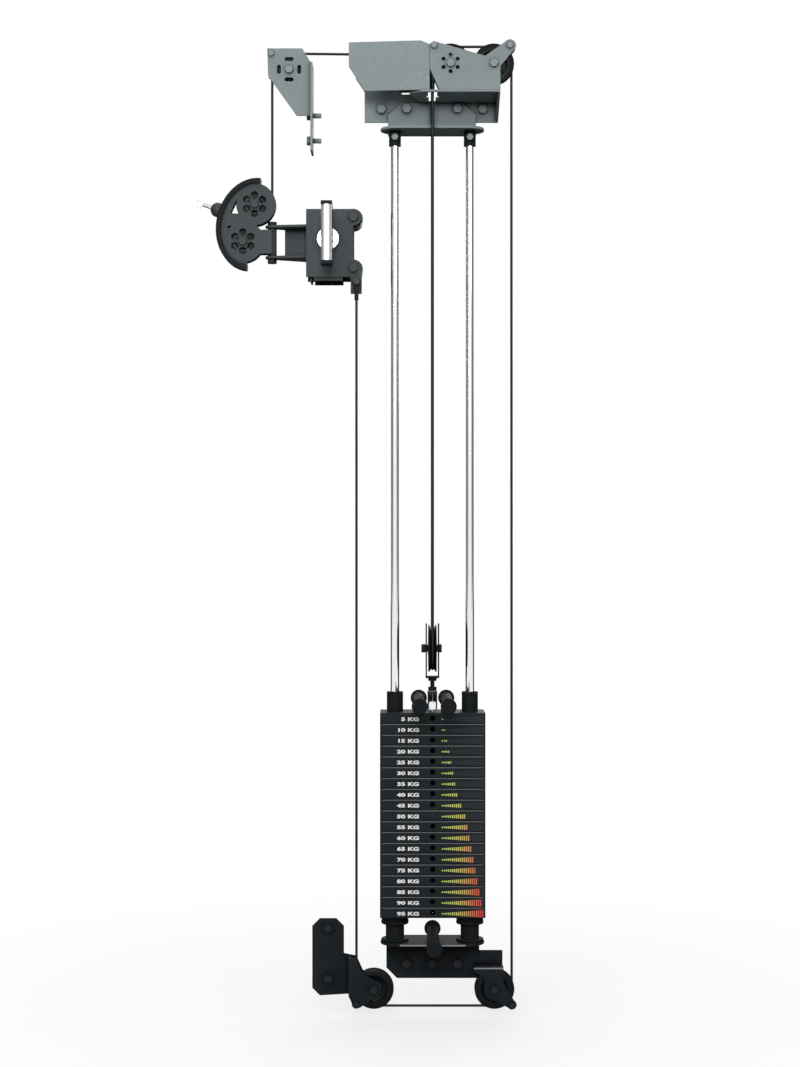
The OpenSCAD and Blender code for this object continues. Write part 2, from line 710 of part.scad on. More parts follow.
module stack_axle_bolt() color(PAINT_BLACK) from_floor() translate([0, -rod_out, stack_axle_z]) {
  inner = wheel_w / 2 + 3.3;
  bar_x(axle_r, -inner - 3, inner + 3);
  hex_x(axle_af, -inner - 3 - 10, -inner - 3);
  hex_x(axle_af, inner + 3, inner + 9);
  for (side = [-1, 1])
    bar_x(axle_r + 3.5, side > 0 ? cheek_in : -inner, side > 0 ? inner : -cheek_in);
}

// Cable

module cable_stack_loop() color(NYLON) from_floor() translate([0, -rod_out, stack_axle_z])
  rotate([90, 0, 90]) rotate([0, 0, 180])
    rotate_extrude(angle = 180, $fn = fine)
      translate([stack_run_r, 0])
        circle(r = cable_r, $fn = 24);

module cable_dead_run() color(NYLON) from_floor() translate([0, dead_y, stack_axle_z])
  cylinder(r = cable_r, h = axle_z - stack_axle_z, $fn = 24);

module cable_live_run() color(NYLON) from_floor() translate([0, live_y, stack_axle_z])
  cylinder(r = cable_r, h = live_z - stack_axle_z, $fn = 24);

module cable_top_span() color(NYLON) from_floor() {
  skewed() translate([-run_r, 0, live_z]) cable_bend(run_r, 0, 90);
  bar_between(
    [-run_r * cos(skew), live_y + run_r * sin(skew), live_z + run_r],
    [front_x, swivel_y, front_z + run_r], cable_r, bend_gap
  );
  translate([front_x, swivel_y, front_z]) cable_bend(run_r, 90, 90);
}

module cable_return_run() color(NYLON) from_floor() {
  translate([base_left_x, side_y, base_wheel_z]) cable_bend(run_r, 180, 90);
  bar_between([base_left_x, side_y, base_wheel_z - run_r], [base_right_x, side_y, base_wheel_z - run_r],
    cable_r, bend_gap);
  translate([base_right_x, side_y, base_wheel_z]) cable_bend(run_r, 270, 90);
  bar_between([base_right_x + run_r, side_y, base_wheel_z], [right_x + run_r, dead_y, axle_z],
    cable_r, bend_gap);
  translate([right_x, dead_y, axle_z]) cable_bend(run_r, 0, 90);
  bar_between([right_x, dead_y, axle_z + run_r], [dead_x, dead_y, axle_z + run_r],
    cable_r, bend_gap);
  translate([dead_x, dead_y, axle_z]) cable_bend(run_r, 90, 90);
}

module cable_anchor_run() color(NYLON) from_floor() translate([anchor_x, side_y, base_wheel_z])
  cylinder(r = cable_r, h = anchor_z - ferrule_drop - base_wheel_z, $fn = 24);

module cable_front_run() color(NYLON) from_floor() translate([swivel_x, swivel_y, head_up_z])
  cylinder(r = cable_r, h = front_z - head_up_z, $fn = 24);

module head_cable() color(NYLON) from_floor() translate([head_up_x, swivel_y, head_up_z])
  cable_bend(run_r, -90 - exit_angle, 90 + exit_angle);

module cable_exit_run() color(NYLON) from_floor() bar_between(
  [exit_x, swivel_y, exit_z],
  [exit_x, swivel_y, exit_z] + (ball_dist - ball_r) * exit_way, cable_r
);

module cable_anchor() color(BOLT_STEEL) from_floor() translate([anchor_x, side_y, anchor_z]) {
  difference() {
    bar_y(9, -3.5, 3.5);
    bar_y(guard_bolt_r + bolt_slack, -5, 5);
  }
  difference() {
    translate([0, 0, -ferrule_drop]) cylinder(r = cable_r + 2, h = ferrule_drop - 6, $fn = round_fn);
    bar_y(8.9, -9, 9);
  }
}

// Pulleys

module stack_pulley() color(NYLON) from_floor() translate([0, -rod_out, stack_axle_z])
  rotate([0, 0, 90]) wheel(stack_rim_r, stack_run_r);

module dead_pulley() color(NYLON) from_floor() translate([dead_x, dead_y, axle_z]) wheel(rim_r, run_r);

module top_right_pulley() color(NYLON) from_floor() translate([right_x, dead_y, axle_z]) wheel(rim_r, run_r);

module live_pulley() color(NYLON) from_floor() skewed() translate([-run_r, 0, live_z]) wheel(rim_r, run_r);

module front_top_pulley() color(NYLON) from_floor() translate([front_x, swivel_y, front_z])
  wheel(rim_r, run_r);

module base_right_pulley() color(NYLON) from_floor() translate([base_right_x, side_y, base_wheel_z])
  wheel(rim_r, run_r);

module base_left_pulley() color(NYLON) from_floor() translate([base_left_x, side_y, base_wheel_z])
  wheel(rim_r, run_r);

module head_pulley_upper() color(NYLON) from_floor() translate([head_up_x, swivel_y, head_up_z])
  wheel(head_rim_r, run_r);

module head_pulley_lower() color(NYLON) from_floor() translate([head_low_x, swivel_y, head_low_z])
  wheel(head_rim_r, run_r);

// Trolley

module trolley_outline() union() {
  translate([plate_left, trolley_bottom]) square([roller_x - plate_left, trolley_plate_h]);
  translate([roller_x, roller_top_z]) circle(r = 20, $fn = fine);
  translate([roller_x, roller_low_z]) circle(r = 20, $fn = fine);
}

module trolley_shell() color(PAINT_SLATE) from_floor() {
  plate_y(trolley_near_y - sheet_t, sheet_t) difference() {
    union() {
      trolley_outline();
      translate([anchor_x - 14, anchor_z - 28])
        square([roller_x + 20 - anchor_x + 14, roller_low_z - anchor_z + 28]);
    }
    for (z = [roller_top_z, roller_low_z])
      translate([roller_x, z])
        circle(r = axle_hole_r, $fn = round_fn);
    translate([anchor_x, anchor_z]) circle(r = guard_bolt_r + bolt_slack, $fn = round_fn);
    translate([-up_x, trolley_h]) circle(r = lock_pin_r + 1, $fn = round_fn);
  }
  plate_y(trolley_far_y, sheet_t) difference() {
    trolley_outline();
    for (z = [roller_top_z, roller_low_z])
      translate([roller_x, z])
        circle(r = axle_hole_r, $fn = round_fn);
  }
  translate([outer_x - sheet_t, trolley_near_y - 1, trolley_bottom])
    cube([sheet_t, trolley_far_y - trolley_near_y + 2, trolley_plate_h]);
}

module trolley_liners() color(NYLON) from_floor() {
  low = trolley_bottom - 9;
  tall = trolley_plate_h + 9;
  difference() {
    translate([-up_x - upright_w / 2 + 3, trolley_near_y, low]) cube([upright_w - 6, liner_t, tall]);
    translate([-up_x, 0, trolley_h]) bar_y(lock_pin_r + 1, trolley_near_y - 1, 1);
  }
  translate([-up_x - upright_w / 2 + 3, upright_w + liner_slack, low]) cube([upright_w - 6, liner_t, tall]);
  translate([outer_x, 3, low]) cube([liner_t, upright_w - 6, tall]);
}

module trolley_arm() color(PAINT_SLATE) from_floor() {
  root_x = outer_x - sheet_t;
  plate = 6;
  for (z = [arm_low - 2, arm_low + arm_h - plate + 2])
    translate([0, 0, z]) linear_extrude(height = plate) difference() {
      union() {
        polygon([
          [root_x, -5], [root_x, upright_w + 5],
          [swivel_x, swivel_y + 16], [swivel_x, swivel_y - 16]
        ]);
        translate([swivel_x, swivel_y]) circle(r = 16, $fn = round_fn);
      }
      translate([swivel_x, swivel_y]) circle(r = swivel_pin_r + bolt_slack, $fn = round_fn);
    }
  translate([swivel_x + 29, swivel_y + 20, arm_low]) cube([root_x - swivel_x - 29, 5, arm_h]);
}

module lock_boss() color(ALUMINIUM) from_floor() translate([-up_x, 0, trolley_h]) difference() {
  union() {
    bar_y(26, trolley_near_y - sheet_t - 8, trolley_near_y - sheet_t, fine);
    bar_y(15, trolley_near_y - sheet_t - 28, trolley_near_y - sheet_t - 7);
  }
  bar_y(lock_pin_r + axle_slack, trolley_near_y - sheet_t - 29, 1);
}

module trolley_bolts() color(BOLT_STEEL) from_floor() {
  front = trolley_near_y - sheet_t;
  back = trolley_far_y + sheet_t;
  for (z = [roller_top_z, roller_low_z])
    translate([roller_x, 0, z]) {
      hex_y(bolt_af, front - bolt_head, front);
      bar_y(axle_r, front, back);
      hex_y(bolt_af, back, back + bolt_head);
      bar_y(axle_r + 4, trolley_near_y, roller_side - cheek_slack);
      bar_y(axle_r + 4, upright_w - roller_side + cheek_slack, trolley_far_y);
    }
  translate([anchor_x, 0, anchor_z]) {
    bar_y(guard_bolt_r, side_y - 3.5, trolley_near_y);
    hex_y(guard_bolt_af + 2, side_y - 9.5, side_y - 3.5);
    bar_y(guard_bolt_r + 3, side_y + 3.5, front);
    hex_y(guard_bolt_af, trolley_near_y, trolley_near_y + 5);
  }
}

// Roller that bears on the inner face of the upright, with its axle at height z
module roller(z) translate([roller_x, 0, z])
  rotate([-90, 0, 0]) rotate_extrude($fn = fine)
    polygon([
      [axle_r + axle_slack, roller_side], [roller_r - 2, roller_side], [roller_r, roller_side + 2],
      [roller_r, upright_w - roller_side - 2], [roller_r - 2, upright_w - roller_side],
      [axle_r + axle_slack, upright_w - roller_side]
    ]);

module roller_upper() color(NYLON) from_floor() roller(roller_top_z);

module roller_lower() color(NYLON) from_floor() roller(roller_low_z);

module lock_handle() color(PAINT_BLACK) from_floor() translate([-up_x, 0, trolley_h]) {
  bar_y(lock_pin_r, grip_y + 41, lock_travel - 4);
  translate([-grip_end_w / 2, grip_y + 36, -grip_len / 2 - 8]) cube([grip_end_w, 7, grip_len + 16]);
  for (side = [-1, 1])
    translate([-grip_end_w / 2, grip_y - 13, side * (grip_len / 2 + 4) - 4]) cube([grip_end_w, 51, 8]);
}

module lock_grip() color(ALUMINIUM) from_floor() translate([-up_x, grip_y, trolley_h - grip_len / 2])
  cylinder(r = grip_r, h = grip_len, $fn = fine);

module swivel_pin() color(PAINT_BLACK) from_floor() translate([swivel_x, swivel_y, 0]) {
  low = arm_low - 2;
  high = arm_low + arm_h + 2;
  translate([0, 0, low]) cylinder(r = swivel_pin_r, h = high - low, $fn = round_fn);
  translate([0, 0, high]) cylinder(r = bolt_af / 2 / cos(30), h = 9, $fn = 6);
  translate([0, 0, low - 11]) cylinder(r = bolt_af / 2 / cos(30), h = 11, $fn = 6);
}

// Swivel head

// Point of the guard's ellipse at angle a, moved inwards by wall
function guard_point(a, wall) = let(
  long = guard_long - wall,
  short = guard_short - wall,
  turn = a - guard_tilt,
  reach = long * short / sqrt(pow(short * cos(turn), 2) + pow(long * sin(turn), 2))
) [guard_x + reach * cos(a), guard_z + reach * sin(a)];

guard_step = (guard_end - guard_start) / 40;
function guard_arc(wall) = [for (k = [0:40]) guard_point(guard_start + k * guard_step, wall)];
function reversed(list) = [for (k = [len(list) - 1:-1:0]) list[k]];

module head_plate_outline() difference() {
  union() {
    translate([head_up_x, head_up_z]) circle(r = 50, $fn = fine);
    translate([head_low_x, head_low_z]) circle(r = 50, $fn = fine);
    polygon(concat(guard_arc(guard_wall), [[head_low_x, head_low_z], [head_up_x, head_up_z]]));
    translate([head_up_x - 14, arm_low + 9]) square([swivel_x - head_up_x + 14, arm_h - 18]);
  }
  polygon(concat(guard_arc(guard_wall), reversed(guard_arc(-20))));
  for (c = [[head_up_x, head_up_z], [head_low_x, head_low_z]])
    translate(c) {
      circle(r = axle_hole_r, $fn = round_fn);
      for (k = [0:5])
        rotate(90 + 60 * k)
          translate([21.6, 0])
            circle(d = 16.5 / cos(30), $fn = 6);
    }
  polygon([
    [head_up_x - 43, head_up_z + 10], [head_up_x - 58, head_up_z - 20], [head_up_x - 50, head_up_z - 22],
    [head_up_x - 37, head_up_z - 22], [head_up_x - 42, head_up_z - 8]
  ]);
  polygon([
    [head_low_x - 36, head_low_z + 36], [head_low_x - 25, head_low_z + 36],
    [head_low_x - 34, head_low_z + 31], [head_low_x - 36, head_low_z + 26]
  ]);
}

module head_plates() color(PAINT_SLATE) from_floor() {
  plate_y(swivel_y - cheek_in - sheet_t, sheet_t) head_plate_outline();
  plate_y(swivel_y + cheek_in, sheet_t) head_plate_outline();
  difference() {
    translate([swivel_x, swivel_y, arm_low + 5]) cylinder(r = barrel_r, h = arm_h - 10, $fn = round_fn);
    translate([swivel_x, swivel_y, arm_low])
      cylinder(r = swivel_pin_r + axle_slack, h = arm_h, $fn = round_fn);
  }
}

module head_guard() color(RUBBER) from_floor() difference() {
  plate_y(swivel_y - guard_half, 2 * guard_half)
    polygon(concat(guard_arc(0), reversed(guard_arc(guard_wall))));
  translate([ball_x, swivel_y, ball_z]) sphere(r = ball_r + cable_slack, $fn = fine);
  bar_between([exit_x, swivel_y, exit_z], [ball_x, swivel_y, ball_z], cable_r + 2);
}

module head_bolts() color(PAINT_SLATE) from_floor()
  for (c = [[head_up_x, head_up_z], [head_low_x, head_low_z]])
    translate([c[0], swivel_y, c[1]])
      axle_y(-cheek_in - sheet_t, cheek_in + sheet_t);

module ball_stop() color(RUBBER) from_floor() translate([ball_x, swivel_y, ball_z])
  sphere(r = ball_r, $fn = fine);

module cable_eye() color(BOLT_STEEL) from_floor() {
  ball = [ball_x, swivel_y, ball_z];
  eye = ball + (ball_r + 30) * exit_way;
  difference() {
    bar_between(ball, ball + (ball_r + 22) * exit_way, cable_r + 1.5);
    translate(ball) sphere(r = ball_r, $fn = fine);
  }
  translate(eye) difference() {
    bar_y(11, -3, 3);
    bar_y(6.5, -4, 4);
  }
}

top_beam_bracket();
top_front_plate();
top_rear_plate();
live_pulley_housing();
rod_hanger();
hanger_sleeves();
guide_rods();
front_top_bracket();
base_beam_bracket();
base_right_cheek();
base_left_bracket();
stack_buffers();
base_peg();
top_axle_bolts();
base_axle_bolts();
top_frame_bolts();
base_frame_bolts();
resting_plates();
cable_top_span();
cable_return_run();
picked_plates();
selector_pin();
selector_stem();
stack_collars();
stack_pegs();
stack_fork();
stack_axle_bolt();
cable_stack_loop();
cable_dead_run();
cable_live_run();
stack_pulley();
dead_pulley();
top_right_pulley();
live_pulley();
front_top_pulley();
base_right_pulley();
base_left_pulley();
head_pulley_upper();
head_pulley_lower();
trolley_shell();
trolley_liners();
trolley_arm();
lock_boss();
trolley_bolts();
roller_upper();
roller_lower();
cable_anchor();
cable_anchor_run();
cable_front_run();
lock_handle();
lock_grip();
swivel_pin();
head_plates();
head_guard();
head_bolts();
head_cable();
cable_exit_run();
ball_stop();
cable_eye();
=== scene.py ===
"""Finish of a rack mounted cable pulley station: painted sheet metal, chrome rods, stack and cable."""
import json
import logging
import math
from dataclasses import dataclass, field
from enum import Enum
from typing import Iterable, Sequence

import bmesh
import bpy
from mathutils import Matrix, Vector

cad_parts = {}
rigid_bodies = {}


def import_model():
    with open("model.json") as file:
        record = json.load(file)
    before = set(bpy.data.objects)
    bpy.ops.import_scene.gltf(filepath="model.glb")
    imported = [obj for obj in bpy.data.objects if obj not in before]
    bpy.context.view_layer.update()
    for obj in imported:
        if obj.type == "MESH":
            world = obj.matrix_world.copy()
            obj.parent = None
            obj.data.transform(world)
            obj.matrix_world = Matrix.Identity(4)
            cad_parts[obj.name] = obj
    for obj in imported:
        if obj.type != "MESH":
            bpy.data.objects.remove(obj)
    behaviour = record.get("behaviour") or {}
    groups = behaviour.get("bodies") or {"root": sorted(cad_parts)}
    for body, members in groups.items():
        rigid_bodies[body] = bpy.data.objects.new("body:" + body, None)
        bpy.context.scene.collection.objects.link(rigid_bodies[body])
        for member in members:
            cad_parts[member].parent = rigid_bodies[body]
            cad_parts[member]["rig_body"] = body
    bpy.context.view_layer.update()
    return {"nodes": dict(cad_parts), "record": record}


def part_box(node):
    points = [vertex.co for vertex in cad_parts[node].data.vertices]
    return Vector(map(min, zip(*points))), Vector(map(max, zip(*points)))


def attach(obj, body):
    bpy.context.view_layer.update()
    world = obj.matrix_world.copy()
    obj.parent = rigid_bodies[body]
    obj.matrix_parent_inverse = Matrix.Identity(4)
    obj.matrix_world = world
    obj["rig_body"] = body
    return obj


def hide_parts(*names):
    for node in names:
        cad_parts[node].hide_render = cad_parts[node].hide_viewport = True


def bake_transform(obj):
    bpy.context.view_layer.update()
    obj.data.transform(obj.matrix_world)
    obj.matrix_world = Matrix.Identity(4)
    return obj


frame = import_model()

LOG = logging.getLogger("pulley_station")

Mesh = bpy.types.Mesh
Piece = bpy.types.Object
Socket = bpy.types.NodeSocket
Tree = bpy.types.NodeTree
Triple = tuple[float, float, float]
Outline = list[tuple[float, float]]

# Metres in a millimetre, and the distance within which points become one
MM = 0.001
WELD = 0.01 * MM
# Height of the origin above the floor, in millimetres
ORIGIN_HEIGHT = 130.0
# Edges of turned pieces sharper than this stay crisp, in degrees
CRISP = 28.0
# Greatest depth of the relief that a finish has
RELIEF = 0.1 * MM
WHITE = (1.0, 1.0, 1.0, 1.0)


class Slot(Enum):
    """Material slots of the record."""

    LIGHT = "paint_light"
    SLATE = "paint_slate"
    BLACK = "paint_black"
    STACK = "stack_paint"
    BOLT_LIGHT = "bolt_light"
    BOLT_SLATE = "bolt_slate"
    BOLT_BLACK = "bolt_black"
    STEEL = "steel"
    RUBBER = "rubber"
    NYLON = "nylon"
    CHROME = "chrome"
    ALUMINIUM = "aluminium"
    CABLE = "cable"


def slot_of(node: str) -> Slot:
    """Finds the material slot that the record gives a CAD node.

    Args:
        node: name of the CAD node.

    Returns:
        The slot.
    """
    for part in frame["record"]["subparts"]:
        if part["node"] == node:
            return Slot(part["material_slot"])
    raise KeyError(node)


def body_of(node: str) -> str:
    """Returns the body that carries a CAD node."""
    return frame["nodes"][node]["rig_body"]


def centre(node: str) -> Vector:
    """Returns the middle of a CAD node's box, in metres."""
    low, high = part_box(node)
    return (Vector(low) + Vector(high)) / 2


def in_frame(across: float, back: float, height: float) -> Vector:
    """Returns a place in metres from one in millimetres whose height is above the floor."""
    return Vector((across, back, height - ORIGIN_HEIGHT)) * MM


def new_object(name: str, data: bpy.types.ID) -> Piece:
    """Puts a mesh, a camera, a lamp or a text in the scene at the origin.

    Args:
        name: name of the object.
        data: what it shows, already in place.

    Returns:
        The new object.
    """
    piece = bpy.data.objects.new(name, data)
    bpy.context.scene.collection.objects.link(piece)
    return piece


def evaluated_mesh(piece: Piece) -> Mesh:
    """Turns a piece with its modifiers into a plain mesh of its own.

    Args:
        piece: object whose modifiers are final.

    Returns:
        The finished mesh.
    """
    graph = bpy.context.evaluated_depsgraph_get()
    graph.update()
    return bpy.data.meshes.new_from_object(piece.evaluated_get(graph), depsgraph=graph)


def put(piece: Piece, body: str, node: str | None = None) -> None:
    """Sets a finished piece on its body, in the place of a CAD node where it has one, and logs it.

    Args:
        piece: the finished piece.
        body: body that carries it.
        node: CAD node that it stands for.
    """
    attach(piece, body)
    if node is not None:
        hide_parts(node)
    LOG.info("%s rides on %s with %d faces", piece.name, body, len(piece.data.polygons))


# Shader nodes


def feed(tree: Tree, node: bpy.types.Node, inputs: dict[str | int, object]) -> None:
    """Links sockets to a node's inputs and sets constants on the rest.

    Args:
        tree: tree that holds the node.
        node: node to feed.
        inputs: a socket or a constant for each input, by its name or number.
    """
    for name, value in inputs.items():
        if isinstance(value, Socket):
            tree.links.new(value, node.inputs[name])
        else:
            node.inputs[name].default_value = value


def add_node(tree: Tree, kind: str, inputs: dict[str | int, object], **choices: object) -> bpy.types.Node:
    """Adds a node.

    Args:
        tree: tree that holds it.
        kind: type of the node.
        inputs: a socket or a constant for each input, by its name or number.
        choices: other settings, such as its operation.

    Returns:
        The node.
    """
    node = tree.nodes.new(kind)
    for name, choice in choices.items():
        setattr(node, name, choice)
    feed(tree, node, inputs)
    return node


def maths(tree: Tree, operation: str, *terms: float | Socket) -> Socket:
    """Returns the result of a Math node with these terms."""
    return add_node(tree, "ShaderNodeMath", dict(enumerate(terms)), operation=operation).outputs[0]


def scaled(tree: Tree, vector: Socket, gain: Socket) -> Socket:
    """Returns a colour or a vector times a number."""
    return add_node(tree, "ShaderNodeVectorMath", {0: vector, "Scale": gain}, operation="SCALE").outputs[0]


def span(tree: Tree, value: Socket, start: float, end: float, low: float = 0.0, high: float = 1.0) -> Socket:
    """Maps a value from one range to another and keeps it there.

    Args:
        tree: tree that holds the node.
        value: value to map.
        start: value that becomes low.
        end: value that becomes high.
        low: first end of the new range.
        high: other end of the new range.

    Returns:
        The mapped value.
    """
    ends = {"From Min": start, "From Max": end, "To Min": low, "To Max": high}
    return add_node(tree, "ShaderNodeMapRange", {"Value": value, **ends}).outputs["Result"]


def own_place(tree: Tree) -> Socket:
    """Returns the place on the piece, in its own coordinates."""
    return tree.nodes.new("ShaderNodeTexCoord").outputs["Object"]


def parts_of(tree: Tree, vector: Socket) -> bpy.types.NodeOutputs:
    """Returns the X, Y and Z of a vector."""
    return add_node(tree, "ShaderNodeSeparateXYZ", {"Vector": vector}).outputs


def noise(tree: Tree, place: Socket, scale: float | Socket, detail: float = 2.0) -> Socket:
    """Returns a noise at a place."""
    inputs = {"Vector": place, "Scale": scale, "Detail": detail}
    return add_node(tree, "ShaderNodeTexNoise", inputs).outputs["Fac"]


def relief(tree: Tree, height: Socket, strength: float) -> Socket:
    """Returns the normal of a surface with this height over it."""
    shape = {"Strength": strength, "Distance": RELIEF, "Height": height}
    return add_node(tree, "ShaderNodeBump", shape).outputs["Normal"]


class ShaderGroup:
    """A shader node group with named sockets, built once.

    Attributes:
        name: name of the group.
        inputs: name, kind and default of each input.
        outputs: name and kind of each output.
    """

    name: str = ""
    inputs: tuple[tuple[str, str, object], ...] = ()
    outputs: tuple[tuple[str, str], ...] = ()

    def tree(self) -> Tree:
        """Builds the group on the first call.

        Returns:
            The group's tree.
        """
        found = bpy.data.node_groups.get(self.name)
        if found is not None:
            return found
        tree = bpy.data.node_groups.new(self.name, "ShaderNodeTree")
        for label, kind, default in self.inputs:
            made = tree.interface.new_socket(name=label, in_out="INPUT", socket_type="NodeSocket" + kind)
            made.default_value = default
        for label, kind in self.outputs:
            tree.interface.new_socket(name=label, in_out="OUTPUT", socket_type="NodeSocket" + kind)
        given = tree.nodes.new("NodeGroupInput").outputs
        add_node(tree, "NodeGroupOutput", self.results(tree, given))
        return tree

    def results(self, tree: Tree, given: bpy.types.NodeOutputs) -> dict[str, Socket]:
        """Makes the nodes between the inputs and the outputs.

        Args:
            tree: the group's tree.
            given: the group's inputs.

        Returns:
            What feeds each output.
        """
        raise NotImplementedError

    def used_in(self, tree: Tree, values: dict[str, object]) -> bpy.types.NodeOutputs:
        """Returns the outputs of the group in a material, with its own values."""
        return add_node(tree, "ShaderNodeGroup", values, node_tree=self.tree()).outputs


class PowderGrain(ShaderGroup):
    """Fine pebbled surface of powder coat, moulded plastic and rubber, with slow changes of tone.

    Attributes:
        patch_scale: fineness of the slow changes.
        patch_detail: octaves of the slow changes.
        grain_detail: octaves of the pebbling.
    """

    name = "powder_grain"
    inputs = (
        ("Colour", "Color", (0.5, 0.5, 0.5, 1.0)), ("Roughness", "Float", 0.5),
        ("Grain Scale", "Float", 900.0), ("Tone Change", "Float", 0.06),
    )
    outputs = (("Colour", "Color"), ("Roughness", "Float"), ("Height", "Float"))
    patch_scale = 9.0
    patch_detail = 5.0
    grain_detail = 3.0

    def results(self, tree: Tree, given: bpy.types.NodeOutputs) -> dict[str, Socket]:
        """Makes two noises: a fine one for the height and a slow one for tone and gloss.

        Args:
            tree: the group's tree.
            given: the group's inputs.

        Returns:
            What feeds each output.
        """
        place = own_place(tree)
        patches = noise(tree, place, self.patch_scale, self.patch_detail)
        offset = maths(tree, "SUBTRACT", patches, 0.5)
        swing = maths(tree, "MULTIPLY", offset, given["Tone Change"])
        gain = maths(tree, "MULTIPLY_ADD", swing, 2.0, 1.0)
        return {
            "Colour": scaled(tree, given["Colour"], gain),
            "Roughness": maths(tree, "ADD", swing, given["Roughness"]),
            "Height": noise(tree, place, given["Grain Scale"], self.grain_detail),
        }


class DrawnLines(ShaderGroup):
    """Fine lines left along a bar by drawing or polishing.

    Attributes:
        stretch: fineness along the bar, as a share of that across it.
    """

    name = "drawn_lines"
    inputs = (("Roughness", "Float", 0.1), ("Line Scale", "Float", 600.0), ("Line Depth", "Float", 0.05))
    outputs = (("Roughness", "Float"), ("Height", "Float"))
    stretch = 0.02

    def results(self, tree: Tree, given: bpy.types.NodeOutputs) -> dict[str, Socket]:
        """Makes a noise stretched along the height.

        Args:
            tree: the group's tree.
            given: the group's inputs.

        Returns:
            What feeds each output.
        """
        long = {"Vector": own_place(tree), "Scale": (1.0, 1.0, self.stretch)}
        place = add_node(tree, "ShaderNodeMapping", long).outputs["Vector"]
        lines = noise(tree, place, given["Line Scale"])
        swing = maths(tree, "MULTIPLY", lines, given["Line Depth"])
        return {"Roughness": maths(tree, "ADD", swing, given["Roughness"]), "Height": lines}


class EdgeWearAndHighlight(ShaderGroup):
    """Mask of lightened rims and corners: paint thinned on the edges, together with a painted highlight
    where sharp edges catch the light.

    Attributes:
        sharpness: pointiness at which the lightening starts, and at which it is full.
        patch_scale: fineness of the lightened patches.
    """

    name = "edge_wear_and_highlight"
    inputs = (("Amount", "Float", 0.5),)
    outputs = (("Mask", "Float"),)
    sharpness = (0.53, 0.62)
    patch_scale = 70.0

    def results(self, tree: Tree, given: bpy.types.NodeOutputs) -> dict[str, Socket]:
        """Breaks up the sharp places of the mesh with a noise.

        Args:
            tree: the group's tree.
            given: the group's inputs.

        Returns:
            What feeds each output.
        """
        # Painted highlight together with thinned paint: sharp places of the mesh get a lighter colour.
        point = tree.nodes.new("ShaderNodeNewGeometry").outputs["Pointiness"]
        patches = noise(tree, own_place(tree), self.patch_scale)
        broken = maths(tree, "MULTIPLY", span(tree, point, *self.sharpness), patches)
        return {"Mask": maths(tree, "MULTIPLY", broken, given["Amount"])}


class PaintedCreviceShade(ShaderGroup):
    """Mask of painted shade: darker in corners, round bolt heads and under edges, where other surfaces are
    close.

    Attributes:
        openness: share of open sky at which the painted shade is full, and at which it ends.
        samples: rays that look for other surfaces.
    """

    name = "painted_crevice_shade"
    inputs = (("Reach", "Float", 0.016), ("Amount", "Float", 0.8))
    outputs = (("Mask", "Float"),)
    openness = (0.5, 0.96)
    samples = 12

    def results(self, tree: Tree, given: bpy.types.NodeOutputs) -> dict[str, Socket]:
        """Turns the closeness of other surfaces into a mask.

        Args:
            tree: the group's tree.
            given: the group's inputs.

        Returns:
            What feeds each output.
        """
        reach = {"Distance": given["Reach"]}
        # Painted shade: the colour is darkened where other surfaces come close, as shade would fall there.
        near = add_node(tree, "ShaderNodeAmbientOcclusion", reach, samples=self.samples)
        closed = maths(tree, "SUBTRACT", 1.0, span(tree, near.outputs["AO"], *self.openness))
        shade = maths(tree, "MULTIPLY", closed, given["Amount"])
        return {"Mask": maths(tree, "SUBTRACT", 1.0, shade)}


# Finishes


@dataclass(frozen=True)
class Finish:
    """A surface finish.

    Attributes:
        label: name of the material.
        colour: linear base colour.
        roughness: mean roughness.
        metallic: 1 for bare metal.
        grain_scale: fineness of the pebbling.
        grain_depth: strength of the relief.
        tone_change: share by which the tone wanders.
        wear_and_highlight: how much the rims are lightened, as thinned paint and as painted highlight.
        shine: specular level.
        painted_shade: how much painted shade darkens corners and the surroundings of bolts.
        rim_light_gain: how many times lighter the thinned and highlighted rims are.
        rim_light_lift: what is then added to it.
    """

    label: str
    colour: Triple
    roughness: float
    metallic: float = 0.0
    grain_scale: float = 900.0
    grain_depth: float = 0.12
    tone_change: float = 0.06
    wear_and_highlight: float = 0.0
    shine: float = 0.5
    painted_shade: float = 0.0
    rim_light_gain: float = 2.2
    rim_light_lift: float = 0.03

    def material(self) -> bpy.types.Material:
        """Builds the material of this finish on the first call.

        Returns:
            The material.
        """
        found = bpy.data.materials.get(self.label)
        if found is not None:
            return found
        made = bpy.data.materials.new(self.label)
        made.use_nodes = True
        tree = made.node_tree
        level = {"Metallic": self.metallic, "Specular IOR Level": self.shine}
        feed(tree, tree.nodes["Principled BSDF"], level | self.surface(tree))
        return made

    def surface(self, tree: Tree) -> dict[str, Socket]:
        """Makes the grain, the lightened rims with their painted highlight, and the painted shade.

        Args:
            tree: the material's tree.

        Returns:
            What feeds each input of the shader.
        """
        grain = PowderGrain().used_in(tree, {
            "Colour": (*self.colour, 1.0), "Roughness": self.roughness, "Grain Scale": self.grain_scale,
            "Tone Change": self.tone_change,
        })
        colour = grain["Colour"]
        # Painted highlight and thinned paint: sharp rims are mixed towards a lighter colour.
        if self.wear_and_highlight > 0.0:
            rim_tone = (min(1.0, tone * self.rim_light_gain + self.rim_light_lift) for tone in self.colour)
            rim_mask = EdgeWearAndHighlight().used_in(tree, {"Amount": self.wear_and_highlight})["Mask"]
            tones = {"Factor": rim_mask, "A": colour, "B": (*rim_tone, 1.0)}
            colour = add_node(tree, "ShaderNodeMix", tones, data_type="RGBA").outputs["Result"]
        if self.painted_shade > 0.0:
            # Painted shade darkens the colour in corners, round bolt heads and under edges.
            colour = scaled(tree, colour, PaintedCreviceShade().used_in(tree, {"Amount": self.painted_shade})["Mask"])
        return {"Base Color": colour, "Roughness": grain["Roughness"],
                "Normal": relief(tree, grain["Height"], self.grain_depth)}


